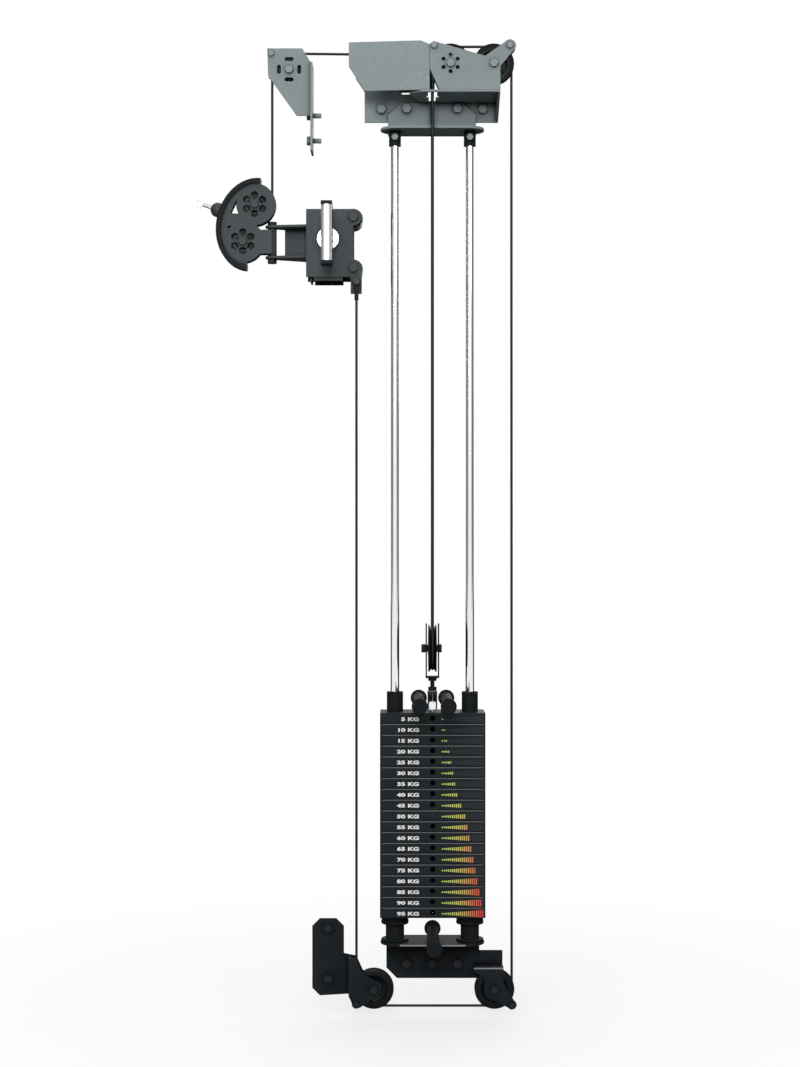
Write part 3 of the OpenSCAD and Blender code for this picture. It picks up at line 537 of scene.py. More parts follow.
@dataclass(frozen=True)
class BrightMetal(Finish):
    """Bare or plated metal with fine drawn lines.

    Attributes:
        metallic: 1 for bare metal.
        line_scale: fineness of the lines.
        line_share: how much the lines roughen the metal, as a share of its roughness.
    """

    metallic: float = 1.0
    line_scale: float = 600.0
    line_share: float = 0.6

    def surface(self, tree: Tree) -> dict[str, Socket]:
        """Makes the drawn lines and a slow change of tone.

        Args:
            tree: the material's tree.

        Returns:
            What feeds each input of the shader.
        """
        colours = {"Colour": (*self.colour, 1.0), "Tone Change": self.tone_change}
        lines = DrawnLines().used_in(tree, {
            "Roughness": self.roughness, "Line Scale": self.line_scale,
            "Line Depth": self.roughness * self.line_share,
        })
        tone = PowderGrain().used_in(tree, colours)["Colour"]
        return {"Base Color": tone, "Roughness": lines["Roughness"],
                "Normal": relief(tree, lines["Height"], self.grain_depth)}


@dataclass(frozen=True)
class BarInk(Finish):
    """Printed bars that run from green through amber to red across the plate.

    Attributes:
        left: place of the first bar.
        right: place of the last bar.
        tones: share of the way across and colour of each ink.
    """

    left: float = 0.0
    right: float = 1.0
    tones: tuple[tuple[float, Triple], ...] = (
        (0.0, (0.46, 0.62, 0.11)), (0.40, (0.56, 0.55, 0.09)), (0.62, (0.62, 0.30, 0.06)),
        (0.80, (0.62, 0.11, 0.03)), (1.0, (0.75, 0.02, 0.03)),
    )

    def surface(self, tree: Tree) -> dict[str, Socket]:
        """Makes a ramp of inks across the plate's width.

        Args:
            tree: the material's tree.

        Returns:
            What feeds each input of the shader.
        """
        across = span(tree, parts_of(tree, own_place(tree))["X"], self.left, self.right)
        ramp = add_node(tree, "ShaderNodeValToRGB", {"Fac": across})
        stops = ramp.color_ramp.elements
        for position, _ in self.tones[1:-1]:
            stops.new(position)
        for stop, (position, tone) in zip(stops, self.tones):
            stop.position, stop.color = position, (*tone, 1.0)
        grain = PowderGrain().used_in(tree, {"Roughness": self.roughness})
        return {"Base Color": ramp.outputs["Color"], "Roughness": grain["Roughness"]}


# Painted shade in corners and round bolt heads, and painted highlight on sharp rims, are set per finish
# below.
FINISHES: dict[Slot, Finish] = {
    Slot.LIGHT: Finish("powder_mid_grey", (0.22, 0.258, 0.264), 0.5, wear_and_highlight=0.5, shine=0.1, painted_shade=0.85),
    Slot.SLATE: Finish("powder_slate", (0.046, 0.056, 0.06), 0.48, wear_and_highlight=0.5, shine=0.12, painted_shade=0.85),
    Slot.BLACK: Finish("powder_black", (0.0102, 0.0128, 0.0152), 0.55, wear_and_highlight=0.9, shine=0.05, painted_shade=0.8),
    Slot.STACK: Finish("plate_charcoal", (0.0068, 0.0096, 0.0115), 0.5, grain_scale=700.0, wear_and_highlight=1.0,
                       shine=0.1),
    Slot.BOLT_LIGHT: Finish("plated_mid_grey", (0.27, 0.31, 0.316), 0.5, shine=0.06, painted_shade=0.9),
    Slot.BOLT_SLATE: Finish("plated_slate", (0.058, 0.069, 0.073), 0.5, shine=0.1, painted_shade=0.9),
    Slot.BOLT_BLACK: Finish("plated_black", (0.0155, 0.0185, 0.0212), 0.5, shine=0.1, painted_shade=0.9),
    Slot.STEEL: BrightMetal("zinc_steel", (0.34, 0.345, 0.35), 0.32, grain_depth=0.05),
    Slot.RUBBER: Finish("black_rubber", (0.0108, 0.0128, 0.0145), 0.55, grain_scale=500.0,
                        grain_depth=0.2, shine=0.04),
    Slot.NYLON: Finish("black_nylon", (0.003, 0.0036, 0.0043), 0.34, grain_scale=400.0,
                       grain_depth=0.08, shine=0.1),
    Slot.CHROME: BrightMetal("hard_chrome", (0.84, 0.85, 0.86), 0.07, grain_depth=0.02),
    Slot.ALUMINIUM: BrightMetal("bright_aluminium", (0.78, 0.79, 0.82), 0.34, grain_depth=0.05),
    Slot.CABLE: Finish("cable_coat", (0.011, 0.0125, 0.014), 0.4, grain_scale=1400.0, grain_depth=0.06,
                       shine=0.16),
}
WHITE_INK = Finish("white_ink", (0.84, 0.84, 0.84), 0.5, grain_depth=0.05)
DIM_INK = Finish("dim_ink", (0.019, 0.023, 0.028), 0.5, grain_depth=0.05, shine=0.16)
# Painted highlight: lighter strips on the shelves' front folds, where they catch the light.
FOLD_HIGHLIGHT = Finish("painted_fold_highlight", (0.27, 0.285, 0.29), 0.45, grain_depth=0.05, shine=0.2)
# Painted highlight: a lighter strip along each plate's top edge, where the edge catches the light.
RIM_HIGHLIGHT = Finish("painted_rim_highlight", (0.1, 0.108, 0.115), 0.4, grain_depth=0.05)
BALL_RUBBER = Finish("ball_rubber", (0.026, 0.03, 0.032), 0.5, grain_scale=500.0, grain_depth=0.2,
                     shine=0.3)
BEARING_STEEL = BrightMetal("bearing_steel", (0.5, 0.51, 0.52), 0.25, grain_depth=0.05)


# Mesh making


def mark_sharp(mesh: Mesh, angle: float) -> None:
    """Shades a mesh smooth, apart from its edges sharper than an angle.

    Args:
        mesh: mesh to shade.
        angle: angle in degrees.
    """
    work = bmesh.new()
    work.from_mesh(mesh)
    limit = math.radians(angle)
    for face in work.faces:
        face.smooth = True
    for edge in work.edges:
        edge.smooth = len(edge.link_faces) == 2 and edge.calc_face_angle(0.0) < limit
    work.to_mesh(mesh)
    work.free()


@dataclass
class Eased:
    """A pressed, cut or turned piece with its sharp edges broken.

    Attributes:
        node: CAD node with the piece's shape.
        slot: finish.
        width: width of the broken edge, in metres.
        angle: edges sharper than this are broken, in degrees.
        segments: steps across the broken edge.
        flat: faces that differ by less than this become one, in degrees.
    """

    node: str
    slot: Slot
    width: float
    angle: float = 32.0
    segments: int = 2
    flat: float = 0.4

    def build(self) -> Piece:
        """Merges the shape's points, joins its flat faces and breaks its edges.

        Returns:
            The finished piece.
        """
        name = self.node + "_finished"
        mesh = bpy.data.meshes.new(name)
        work = bmesh.new()
        work.from_mesh(frame["nodes"][self.node].data)
        bmesh.ops.remove_doubles(work, verts=work.verts, dist=WELD)
        bmesh.ops.dissolve_limit(work, angle_limit=math.radians(self.flat), verts=work.verts,
                                 edges=work.edges, use_dissolve_boundaries=False, delimit=set())
        for face in work.faces:
            face.smooth = True
        work.to_mesh(mesh)
        work.free()
        old_normals = mesh.attributes.get("custom_normal")
        if old_normals is not None:
            mesh.attributes.remove(old_normals)
        piece = new_object(name, mesh)
        bevel = piece.modifiers.new("broken_edge", "BEVEL")
        bevel.limit_method = "ANGLE"
        bevel.angle_limit = math.radians(self.angle)
        bevel.width = self.width
        bevel.segments = self.segments
        bevel.use_clamp_overlap = False
        bevel.harden_normals = True
        bevel.miter_outer = "MITER_ARC"
        finished = evaluated_mesh(piece)
        piece.modifiers.clear()
        piece.data = finished
        finished.materials.append(FINISHES[self.slot].material())
        return piece


def tube(name: str, points: Sequence[Vector], radius: float, sides: int = 20) -> Mesh:
    """Makes a closed round tube along a path.

    Args:
        name: name of the mesh.
        points: path, in metres.
        radius: radius of the tube.
        sides: facets around it.

    Returns:
        The tube's mesh.
    """
    work = bmesh.new()
    rings: list[list[bmesh.types.BMVert]] = []
    across = (points[1] - points[0]).normalized().orthogonal().normalized()
    for index, point in enumerate(points):
        before, after = points[max(index - 1, 0)], points[min(index + 1, len(points) - 1)]
        along = (after - before).normalized()
        across = (across - along * across.dot(along)).normalized()
        side = along.cross(across)
        rings.append([
            work.verts.new(point + (across * math.cos(a) + side * math.sin(a)) * radius)
            for a in (math.tau * k / sides for k in range(sides))
        ])
    for low, high in zip(rings, rings[1:]):
        for k in range(sides):
            following = (k + 1) % sides
            work.faces.new((low[k], low[following], high[following], high[k])).smooth = True
    work.faces.new(list(reversed(rings[0])))
    work.faces.new(rings[-1])
    mesh = bpy.data.meshes.new(name)
    work.to_mesh(mesh)
    work.free()
    return mesh


def straight(start: Vector, end: Vector, step: float) -> list[Vector]:
    """Spaces points along a straight run.

    Args:
        start: first point.
        end: last point.
        step: greatest distance between two points.

    Returns:
        The points, both ends among them.
    """
    count = max(2, int((end - start).length / step) + 1)
    return [start.lerp(end, k / (count - 1)) for k in range(count)]


def turned(name: str, profile: Outline, place: Matrix, segments: int = 96) -> Mesh:
    """Turns a closed profile about its axis.

    Args:
        name: name of the mesh.
        profile: closed loop of (radius, distance along the axis), in millimetres, anticlockwise.
        place: matrix whose Z axis is the axis of turning.
        segments: facets around the axis.

    Returns:
        The turned mesh, in place.
    """
    work = bmesh.new()
    rings = [
        [work.verts.new((r * MM * math.cos(a), r * MM * math.sin(a), z * MM)) for r, z in profile]
        for a in (math.tau * k / segments for k in range(segments))
    ]
    size = len(profile)
    for k in range(segments):
        here, there = rings[k], rings[(k + 1) % segments]
        for p in range(size):
            q = (p + 1) % size
            work.faces.new((here[p], there[p], there[q], here[q]))
    bmesh.ops.recalc_face_normals(work, faces=work.faces)
    mesh = bpy.data.meshes.new(name)
    work.transform(place)
    work.to_mesh(mesh)
    work.free()
    mark_sharp(mesh, CRISP)
    return mesh


def arc(middle: tuple[float, float], radius: float, start: float, end: float, steps: int) -> Outline:
    """Spaces points on an arc.

    Args:
        middle: centre of the arc.
        radius: its radius.
        start: first angle, in degrees.
        end: last angle, in degrees.
        steps: number of spans.

    Returns:
        The points of the arc.
    """
    angles = [math.radians(start + (end - start) * k / steps) for k in range(steps + 1)]
    return [(middle[0] + radius * math.cos(a), middle[1] + radius * math.sin(a)) for a in angles]


def mirrored(low: Outline) -> Outline:
    """Returns the upper half of an outline from its lower half."""
    return [(r, -z) for r, z in reversed(low)]


def join(name: str, meshes: Iterable[Mesh]) -> Mesh:
    """Joins meshes into one, and keeps their materials.

    Args:
        name: name of the result.
        meshes: meshes to join, each with a material.

    Returns:
        The joined mesh.
    """
    work = bmesh.new()
    materials: list[bpy.types.Material] = []
    for mesh in meshes:
        start = len(work.faces)
        work.from_mesh(mesh)
        work.faces.ensure_lookup_table()
        for face in work.faces[start:]:
            material = mesh.materials[face.material_index]
            if material not in materials:
                materials.append(material)
            face.material_index = materials.index(material)
    result = bpy.data.meshes.new(name)
    work.to_mesh(result)
    work.free()
    for material in materials:
        result.materials.append(material)
    return result


class RepeatTree:
    """Geometry Nodes that lay bars in a row, each a little larger than the one before.

    Attributes:
        name: name of the tree.
        kinds: name and kind of each input.
    """

    name = "row_of_bars"
    kinds = (("Count", "Int"), ("Start", "Vector"), ("Step", "Vector"), ("Size", "Vector"),
             ("Growth", "Vector"), ("Material", "Material"))

    def __init__(self) -> None:
        """Makes the named inputs, the output and the nodes."""
        self.tree = bpy.data.node_groups.new(self.name, "GeometryNodeTree")
        sockets = self.tree.interface
        self.inputs: dict[str, str] = {
            label: sockets.new_socket(name=label, in_out="INPUT", socket_type="NodeSocket" + kind).identifier
            for label, kind in self.kinds
        }
        sockets.new_socket(name="Geometry", in_out="OUTPUT", socket_type="NodeSocketGeometry")
        self._nodes()

    def _nodes(self) -> None:
        """Makes a line of points, sets a bar on each and makes the result one mesh."""
        tree = self.tree
        given = tree.nodes.new("NodeGroupInput").outputs
        bar = tree.nodes.new("GeometryNodeMeshCube").outputs["Mesh"]
        number = tree.nodes.new("GeometryNodeInputIndex").outputs["Index"]
        row = {"Count": given["Count"], "Start Location": given["Start"], "Offset": given["Step"]}
        line = add_node(tree, "GeometryNodeMeshLine", row).outputs["Mesh"]
        growth = scaled(tree, given["Growth"], number)
        size = add_node(tree, "ShaderNodeVectorMath", {0: given["Size"], 1: growth}).outputs[0]
        bars = {"Points": line, "Instance": bar, "Scale": size}
        laid = add_node(tree, "GeometryNodeInstanceOnPoints", bars)
        real = add_node(tree, "GeometryNodeRealizeInstances", {"Geometry": laid.outputs["Instances"]})
        inked = {"Geometry": real.outputs["Geometry"], "Material": given["Material"]}
        ink = add_node(tree, "GeometryNodeSetMaterial", inked)
        add_node(tree, "NodeGroupOutput", {"Geometry": ink.outputs["Geometry"]})

    def row(self, count: int, start: Vector, step: Vector, size: Vector, growth: Vector,
            material: bpy.types.Material) -> Mesh:
        """Makes one row as a plain mesh.

        Args:
            count: number of bars.
            start: middle of the first bar.
            step: distance from a bar to the next.
            size: size of the first bar.
            growth: change of size from a bar to the next.
            material: finish of the bars.

        Returns:
            The row's mesh.
        """
        piece = new_object("row", bpy.data.meshes.new("row"))
        modifier = piece.modifiers.new("row", "NODES")
        modifier.node_group = self.tree
        values = {"Count": count, "Start": start, "Step": step, "Size": size, "Growth": growth,
                  "Material": material}
        for label, value in values.items():
            modifier[self.inputs[label]] = value
        mesh = evaluated_mesh(piece)
        bpy.data.objects.remove(piece)
        return mesh


# Sub-assemblies


@dataclass(frozen=True)
class Lamp:
    """A soft square lamp that faces the middle of the station.

    Attributes:
        name: name of the lamp.
        place: where it hangs.
        size: length of its side.
        power: power in watts.
        aim: what it faces.
    """

    name: str
    place: Triple
    size: float
    power: float
    aim: Triple = (-0.15, 0.0, 1.0)

    def build(self) -> None:
        """Hangs the lamp."""
        data = bpy.data.lights.new(self.name, "AREA")
        data.size = self.size
        data.energy = self.power
        lamp = new_object(self.name, data)
        lamp.location = self.place
        lamp.rotation_euler = (Vector(self.aim) - Vector(self.place)).to_track_quat("-Z", "Y").to_euler()


@dataclass
class Studio:
    """Pale floor, plain soft light and the camera.

    Attributes:
        camera_place: where the camera stands.
        lens: focal length in millimetres.
        floor_radius: radius of the floor.
        floor_tone: colour of the floor in the light.
        floor_dark: its colour in mirrors, behind the station.
        shadow: distances from the origin between which the shadow fades out.
        shadow_fade: share of plain white at the first distance.
        floor_front: depths between which the floor turns from dark to white in mirrors.
        sky: two heights of the view between which the world's light grows, and its strength at each.
        flanks: sideways turns of the view between which the world darkens in mirrors.
        flank_depth: how much darker the flanks are.
        lamps: the lamps.
    """

    camera_place: Triple = (-0.0757, -4.680, 1.018)
    lens: float = 66.6
    floor_radius: float = 30.0
    floor_tone: Triple = (0.78, 0.79, 0.8)
    floor_dark: Triple = (0.05, 0.05, 0.05)
    shadow: tuple[float, float] = (0.3, 1.7)
    shadow_fade: float = 0.62
    floor_front: tuple[float, float] = (0.15, -0.05)
    sky: tuple[float, float, float, float] = (0.02, 0.6, 0.02, 0.75)
    flanks: tuple[float, float] = (0.55, 0.93)
    flank_depth: float = 0.82
    lamps: tuple[Lamp, ...] = (
        Lamp("key", (-1.8, -3.4, 3.4), 1.2, 34.0), Lamp("fill", (2.6, -3.4, 2.9), 1.6, 16.0),
        Lamp("front", (-0.2, -6.2, 2.6), 1.6, 190.0), Lamp("top", (0.0, 0.2, 4.6), 2.6, 26.0),
        Lamp("back", (1.6, 5.6, 3.0), 2.6, 45.0),
    )

    def build(self) -> None:
        """Makes the camera first, then the floor, the world and the lamps."""
        self.camera()
        self.floor()
        self.world()
        for lamp in self.lamps:
            lamp.build()
        LOG.info("studio ready")

    def camera(self) -> None:
        """Sets the camera at the photograph's place."""
        data = bpy.data.cameras.new("camera")
        data.lens = self.lens
        camera = new_object("camera", data)
        camera.location = self.camera_place
        camera.rotation_euler = (math.radians(90), 0, 0)
        bpy.context.scene.camera = camera

    def floor(self) -> None:
        """Lays a wide pale floor that runs out into the white background and keeps the shadow."""
        work = bmesh.new()
        bmesh.ops.create_circle(work, cap_ends=True, segments=96, radius=self.floor_radius)
        work.transform(Matrix.Translation((0, 0, -ORIGIN_HEIGHT * MM)))
        mesh = bpy.data.meshes.new("floor")
        work.to_mesh(mesh)
        work.free()
        mesh.materials.append(self.floor_material())
        new_object("floor", mesh)

    def floor_material(self) -> bpy.types.Material:
        """Makes the pale floor: white where it is seen, apart from the shadow near the station.

        Returns:
            The material. Mirrors see it white in front of the station and dark behind it.
        """
        material = bpy.data.materials.new("pale_floor")
        material.use_nodes = True
        tree = material.node_tree
        lit = tree.nodes["Principled BSDF"]
        feed(tree, lit, {"Base Color": (*self.floor_tone, 1.0), "Roughness": 0.8})
        dark = add_node(tree, "ShaderNodeBsdfDiffuse", {"Color": (*self.floor_dark, 1.0)})
        white = add_node(tree, "ShaderNodeEmission", {"Strength": 1.0})
        place = own_place(tree)
        reach = add_node(tree, "ShaderNodeVectorMath", {0: place}, operation="LENGTH").outputs["Value"]
        fade = span(tree, reach, *self.shadow, self.shadow_fade, 1.0)
        shown = self.mixed(tree, fade, lit.outputs["BSDF"], white.outputs["Emission"])
        front = span(tree, parts_of(tree, place)["Y"], *self.floor_front)
        choice = self.mixed(tree, self.seen_directly(tree, front), dark.outputs["BSDF"], shown)
        feed(tree, tree.nodes["Material Output"], {"Surface": choice})
        return material

    def mixed(self, tree: Tree, share: Socket, first: Socket, second: Socket) -> Socket:
        """Returns a mix of two shaders with this share of the second."""
        return add_node(tree, "ShaderNodeMixShader", {"Fac": share, 1: first, 2: second}).outputs["Shader"]

    def seen_directly(self, tree: Tree, in_mirrors: float | Socket = 1.0) -> Socket:
        """Finds out whether the camera sees a place, by itself or through a mirror or glass.

        Args:
            tree: tree that holds the node.
            in_mirrors: share of it that a mirror shows.

        Returns:
            A socket that is 1 where it does.
        """
        ray = tree.nodes.new("ShaderNodeLightPath").outputs
        through = maths(tree, "MAXIMUM", ray["Is Camera Ray"], ray["Is Transmission Ray"])
        return maths(tree, "MAXIMUM", through, maths(tree, "MULTIPLY", ray["Is Glossy Ray"], in_mirrors))

    def world(self) -> None:
        """Sets a world that shows white, lights softly from above and has dark flanks in mirrors."""
        world = bpy.data.worlds.new("studio")
        bpy.context.scene.world = world
        world.use_nodes = True
        tree = world.node_tree
        tree.nodes.clear()
        way = parts_of(tree, tree.nodes.new("ShaderNodeTexCoord").outputs["Generated"])
        flank = span(tree, maths(tree, "ABSOLUTE", way["X"]), *self.flanks, 0.0, self.flank_depth)
        mirror = tree.nodes.new("ShaderNodeLightPath").outputs["Is Glossy Ray"]
        shown = maths(tree, "SUBTRACT", 1.0, maths(tree, "MULTIPLY", flank, mirror))
        soft, seen = (
            add_node(tree, "ShaderNodeBackground", {"Color": WHITE, "Strength": level}).outputs["Background"]
            for level in (span(tree, way["Z"], *self.sky), shown)
        )
        both = self.mixed(tree, self.seen_directly(tree), soft, seen)
        add_node(tree, "ShaderNodeOutputWorld", {"Surface": both})


@dataclass
class SheetMetal:
    """Brackets, plates and turned parts, with their edges broken as pressed and cut steel has them.

    Attributes:
        plates: brackets and plates cut from sheet.
        small: bolts, turned parts and fittings.
        edge: width of a broken edge on sheet.
        fine_edge: width on small parts.
        own_slots: pieces with a darker finish than their CAD node.
    """

    plates: tuple[str, ...] = (
        "top_beam_bracket", "top_front_plate", "top_rear_plate", "live_pulley_housing", "rod_hanger",
        "front_top_bracket", "trolley_shell", "trolley_arm", "head_plates", "base_beam_bracket",
        "base_right_cheek", "base_left_bracket",
    )
    small: tuple[str, ...] = (
        "hanger_sleeves", "head_guard", "stack_fork", "lock_boss", "top_axle_bolts", "base_axle_bolts",
        "top_frame_bolts", "base_frame_bolts", "trolley_bolts", "head_bolts", "stack_axle_bolt",
        "trolley_liners", "stack_collars", "stack_pegs", "base_peg", "lock_handle", "lock_grip",
        "swivel_pin", "cable_anchor", "stack_buffers", "roller_upper", "roller_lower", "selector_stem",
    )
    edge: float = 0.7 * MM
    fine_edge: float = 0.45 * MM
    own_slots: dict[str, Slot] = field(default_factory=lambda: {
        "cable_anchor": Slot.BOLT_BLACK, "head_guard": Slot.BLACK, "swivel_pin": Slot.BOLT_BLACK,
        "stack_pegs": Slot.RUBBER, "base_peg": Slot.RUBBER, "stack_fork": Slot.RUBBER,
    })

    def build(self) -> None:
        """Finishes every bracket and fitting."""
        for nodes, width in ((self.plates, self.edge), (self.small, self.fine_edge)):
            for node in nodes:
                slot = self.own_slots.get(node, slot_of(node))
                put(Eased(node, slot, width).build(), body_of(node), node)


@dataclass(frozen=True)
class Route:
    """Lines and heights that pulleys and cable share, in millimetres, with heights above the floor.

    Attributes:
        wheel_run: radius of the cable's middle line on a common pulley.
        stack_run: the same on the stack's pulley.
        stack_depth: depth of the stack's pulley.
        stack_height: its height at rest.
        dead_height: height of the centre pulley and the one at the top right.
        live_height: height of the live-side pulley.
        front_line: sideways place of the run that comes down to the head.
        front_depth: its depth.
        front_height: height of the pulley over it.
        head_height: height of the upper pulley in the head.
        anchor_line: sideways place of the run that comes up to the trolley.
        anchor_height: height of its upper end.
        base_depth: depth of the base pulleys.
        base_height: height of the base pulleys.
    """

    wheel_run: float = 41.0
    stack_run: float = 48.5
    stack_depth: float = -64.0
    stack_height: float = 879.6
    dead_height: float = 2233.0
    live_height: float = 2238.5
    front_line: float = -380.0
    front_depth: float = 22.0
    front_height: float = 2250.0
    head_height: float = 1930.0
    anchor_line: float = -178.5
    anchor_height: float = 1699.0
    base_depth: float = -17.0
    base_height: float = 74.0

    @property
    def dead_depth(self) -> float:
        """Returns the depth of the run on the near side of the stack's pulley."""
        return self.stack_depth - self.stack_run

    @property
    def live_depth(self) -> float:
        """Returns the depth of the run on the far side of the stack's pulley."""
        return self.stack_depth + self.stack_run


ROUTE = Route()


@dataclass(frozen=True)
class Wheel:
    """One grooved pulley on a ball bearing, in millimetres.

    Attributes:
        node: CAD node that it stands for.
        middle: its middle, with the height above the floor.
        axis: direction of its axle.
        rim: outer radius.
        run: radius of the cable's middle line.
        tread: half the width of the wheel.
        bearing: outer radius of the bearing.
        hub: outer radius of the hub.
        hub_half: half the width of the hub.
        axle: radius of the axle's bore.
        web: half the thickness of the web.
        groove: radius of the groove's round bottom.
        groove_angles: angles at which the groove starts and ends, in degrees.
        bore_ease: broken edge of the bearing's seat.
        hub_ease: broken edge of the hub.
        hub_foot: fillet of the hub: how far outside it, and how far off the web.
        flange_foot: fillet of the flange: how far inside the cable's line, and how far off the web.
        flange_edge: the same for its edge, and how far inside the tread.
        lip: round lip: how far inside the rim, and how far inside the tread.
        race: width of the bearing's inner race and of its outer race.
        race_ease: how much further in the shield starts than the race ends.
        race_drop: how far the races lie inside the hub's face.
        shield_drop: how far the shields do.
    """

    node: str
    middle: Triple
    axis: Triple = (0.0, 1.0, 0.0)
    rim: float = 47.0
    run: float = ROUTE.wheel_run
    tread: float = 9.5
    bearing: float = 11.0
    hub: float = 16.0
    hub_half: float = 10.5
    axle: float = 5.05
    web: float = 4.0
    groove: float = 3.05
    groove_angles: tuple[float, float] = (240.0, 120.0)
    bore_ease: float = 0.6
    hub_ease: float = 0.8
    hub_foot: tuple[tuple[float, float], ...] = ((0.9, 0.8), (2.0, 0.0))
    flange_foot: tuple[tuple[float, float], ...] = ((13.0, 0.0), (11.6, 0.6))
    flange_edge: tuple[tuple[float, float], ...] = ((10.2, 0.7), (9.2, 0.0))
    lip: tuple[tuple[float, float], ...] = ((1.4, 0.0), (0.4, 0.5), (0.0, 1.4), (0.3, 2.3))
    race: tuple[float, float] = (1.6, 1.4)
    race_ease: float = 0.3
    race_drop: float = 0.4
    shield_drop: float = 1.0

    def place(self) -> Vector:
        """Returns the wheel's middle, in metres."""
        return in_frame(*self.middle)

    def moulding(self) -> Outline:
        """Draws the moulded wheel, with a round-bottomed groove and rounded rims.

        Returns:
            The closed outline.
        """
        low = [
            (self.bearing, self.bore_ease - self.hub_half), (self.bearing + self.bore_ease, -self.hub_half),
            (self.hub - self.hub_ease, -self.hub_half), (self.hub, self.hub_ease - self.hub_half),
            *((self.hub + out, -self.web - rise) for out, rise in self.hub_foot),
            *((self.run - inside, -self.web - rise) for inside, rise in self.flange_foot),
            *((self.run - inside, sunk - self.tread) for inside, sunk in self.flange_edge),
            *((self.rim - inside, sunk - self.tread) for inside, sunk in self.lip),
        ]
        return low + arc((self.run, 0.0), self.groove, *self.groove_angles, 14) + mirrored(low)

    def bearing_outline(self) -> Outline:
        """Draws the bearing's races and its sunk shields.

        Returns:
            The closed outline.
        """
        face, shield = self.race_drop - self.hub_half, self.shield_drop - self.hub_half
        inner, outer = self.axle + self.race[0], self.bearing - self.race[1]
        low = [
            (self.axle, face), (inner, face), (inner + self.race_ease, shield),
            (outer - self.race_ease, shield), (outer, face), (self.bearing, face),
        ]
        return low + mirrored(low)

    def build(self) -> None:
        """Makes the wheel with its bearing in place of its node."""
        name = self.node + "_wheel"
        turn = Vector(self.axis).to_track_quat("Z", "Y").to_matrix().to_4x4()
        place = Matrix.Translation(self.place()) @ turn
        wheel = turned(self.node + "_moulding", self.moulding(), place)
        wheel.materials.append(FINISHES[Slot.NYLON].material())
        bearing = turned(self.node + "_bearing", self.bearing_outline(), place, 48)
        bearing.materials.append(BEARING_STEEL.material())
        piece = new_object(name, join(name, [wheel, bearing]))
        mark_sharp(piece.data, CRISP)
        put(piece, body_of(self.node), self.node)


@dataclass
class Pulleys:
    """All nine pulleys of the cable's route.

    Attributes:
        skew: turn of the live-side pulley about the upright, in degrees.
        stack_rim: outer radius of the stack's pulley.
        top_right: sideways place of the pulley at the top right.
        base_right: sideways place of the right base pulley.
        head_lower: middle of the lower pulley in the head, with its height above the floor.
        head_rim: outer radius of the two pulleys in the head.
        slack: how far a wheel may lie from its node before the log says so, in metres.
    """

    skew: float = -6.3125
    stack_rim: float = 55.5
    top_right: float = 141.0
    base_right: float = 147.0
    head_lower: Triple = (-449.0, 22.0, 1842.0)
    head_rim: float = 44.0
    slack: float = 0.2 * MM

    def wheels(self) -> list[Wheel]:
        """Sets out the pulleys.

        Returns:
            The wheels at their places.
        """
        turn = math.radians(self.skew)
        slant = (-math.sin(turn), math.cos(turn), 0.0)
        run, at = ROUTE.wheel_run, ROUTE
        live = (-run * math.cos(turn), at.live_depth - run * math.sin(turn), at.live_height)
        head_upper = (at.front_line - run, at.front_depth, at.head_height)
        return [
            Wheel("stack_pulley", (0.0, at.stack_depth, at.stack_height), (1.0, 0.0, 0.0),
                  rim=self.stack_rim, run=at.stack_run),
            Wheel("dead_pulley", (run, at.dead_depth, at.dead_height)),
            Wheel("top_right_pulley", (self.top_right, at.dead_depth, at.dead_height)),
            Wheel("live_pulley", live, slant),
            Wheel("front_top_pulley", (at.front_line + run, at.front_depth, at.front_height)),
            Wheel("base_right_pulley", (self.base_right, at.base_depth, at.base_height)),
            Wheel("base_left_pulley", (at.anchor_line + run, at.base_depth, at.base_height)),
            Wheel("head_pulley_upper", head_upper, rim=self.head_rim),
            Wheel("head_pulley_lower", self.head_lower, rim=self.head_rim),
        ]

    def build(self) -> None:
        """Builds each wheel, and logs one that isn't where its node is."""
        for wheel in self.wheels():
            drift = (wheel.place() - centre(wheel.node)).length
            if drift > self.slack:
                LOG.warning("%s is %.2f mm off its node", wheel.node, drift / MM)
            wheel.build()


def dress(node: str, finish: Finish) -> None:
    """Gives a CAD node that stays shown its finish.

    Args:
        node: name of the CAD node.
        finish: its finish.
    """
    shown = frame["nodes"][node]
    shown.data.materials.clear()
    shown.data.materials.append(finish.material())
    LOG.info("%s has %s", node, finish.label)


@dataclass(frozen=True)
class Run:
    """A straight stretch of cable between two bodies.

    Attributes:
        node: CAD node that it stands for.
        start: fixed end, in millimetres, with the height above the floor.
        end: moving end.
        bodies: body of the fixed end and body of the moving end.
    """

    node: str
    start: Triple
    end: Triple
    bodies: tuple[str, str]


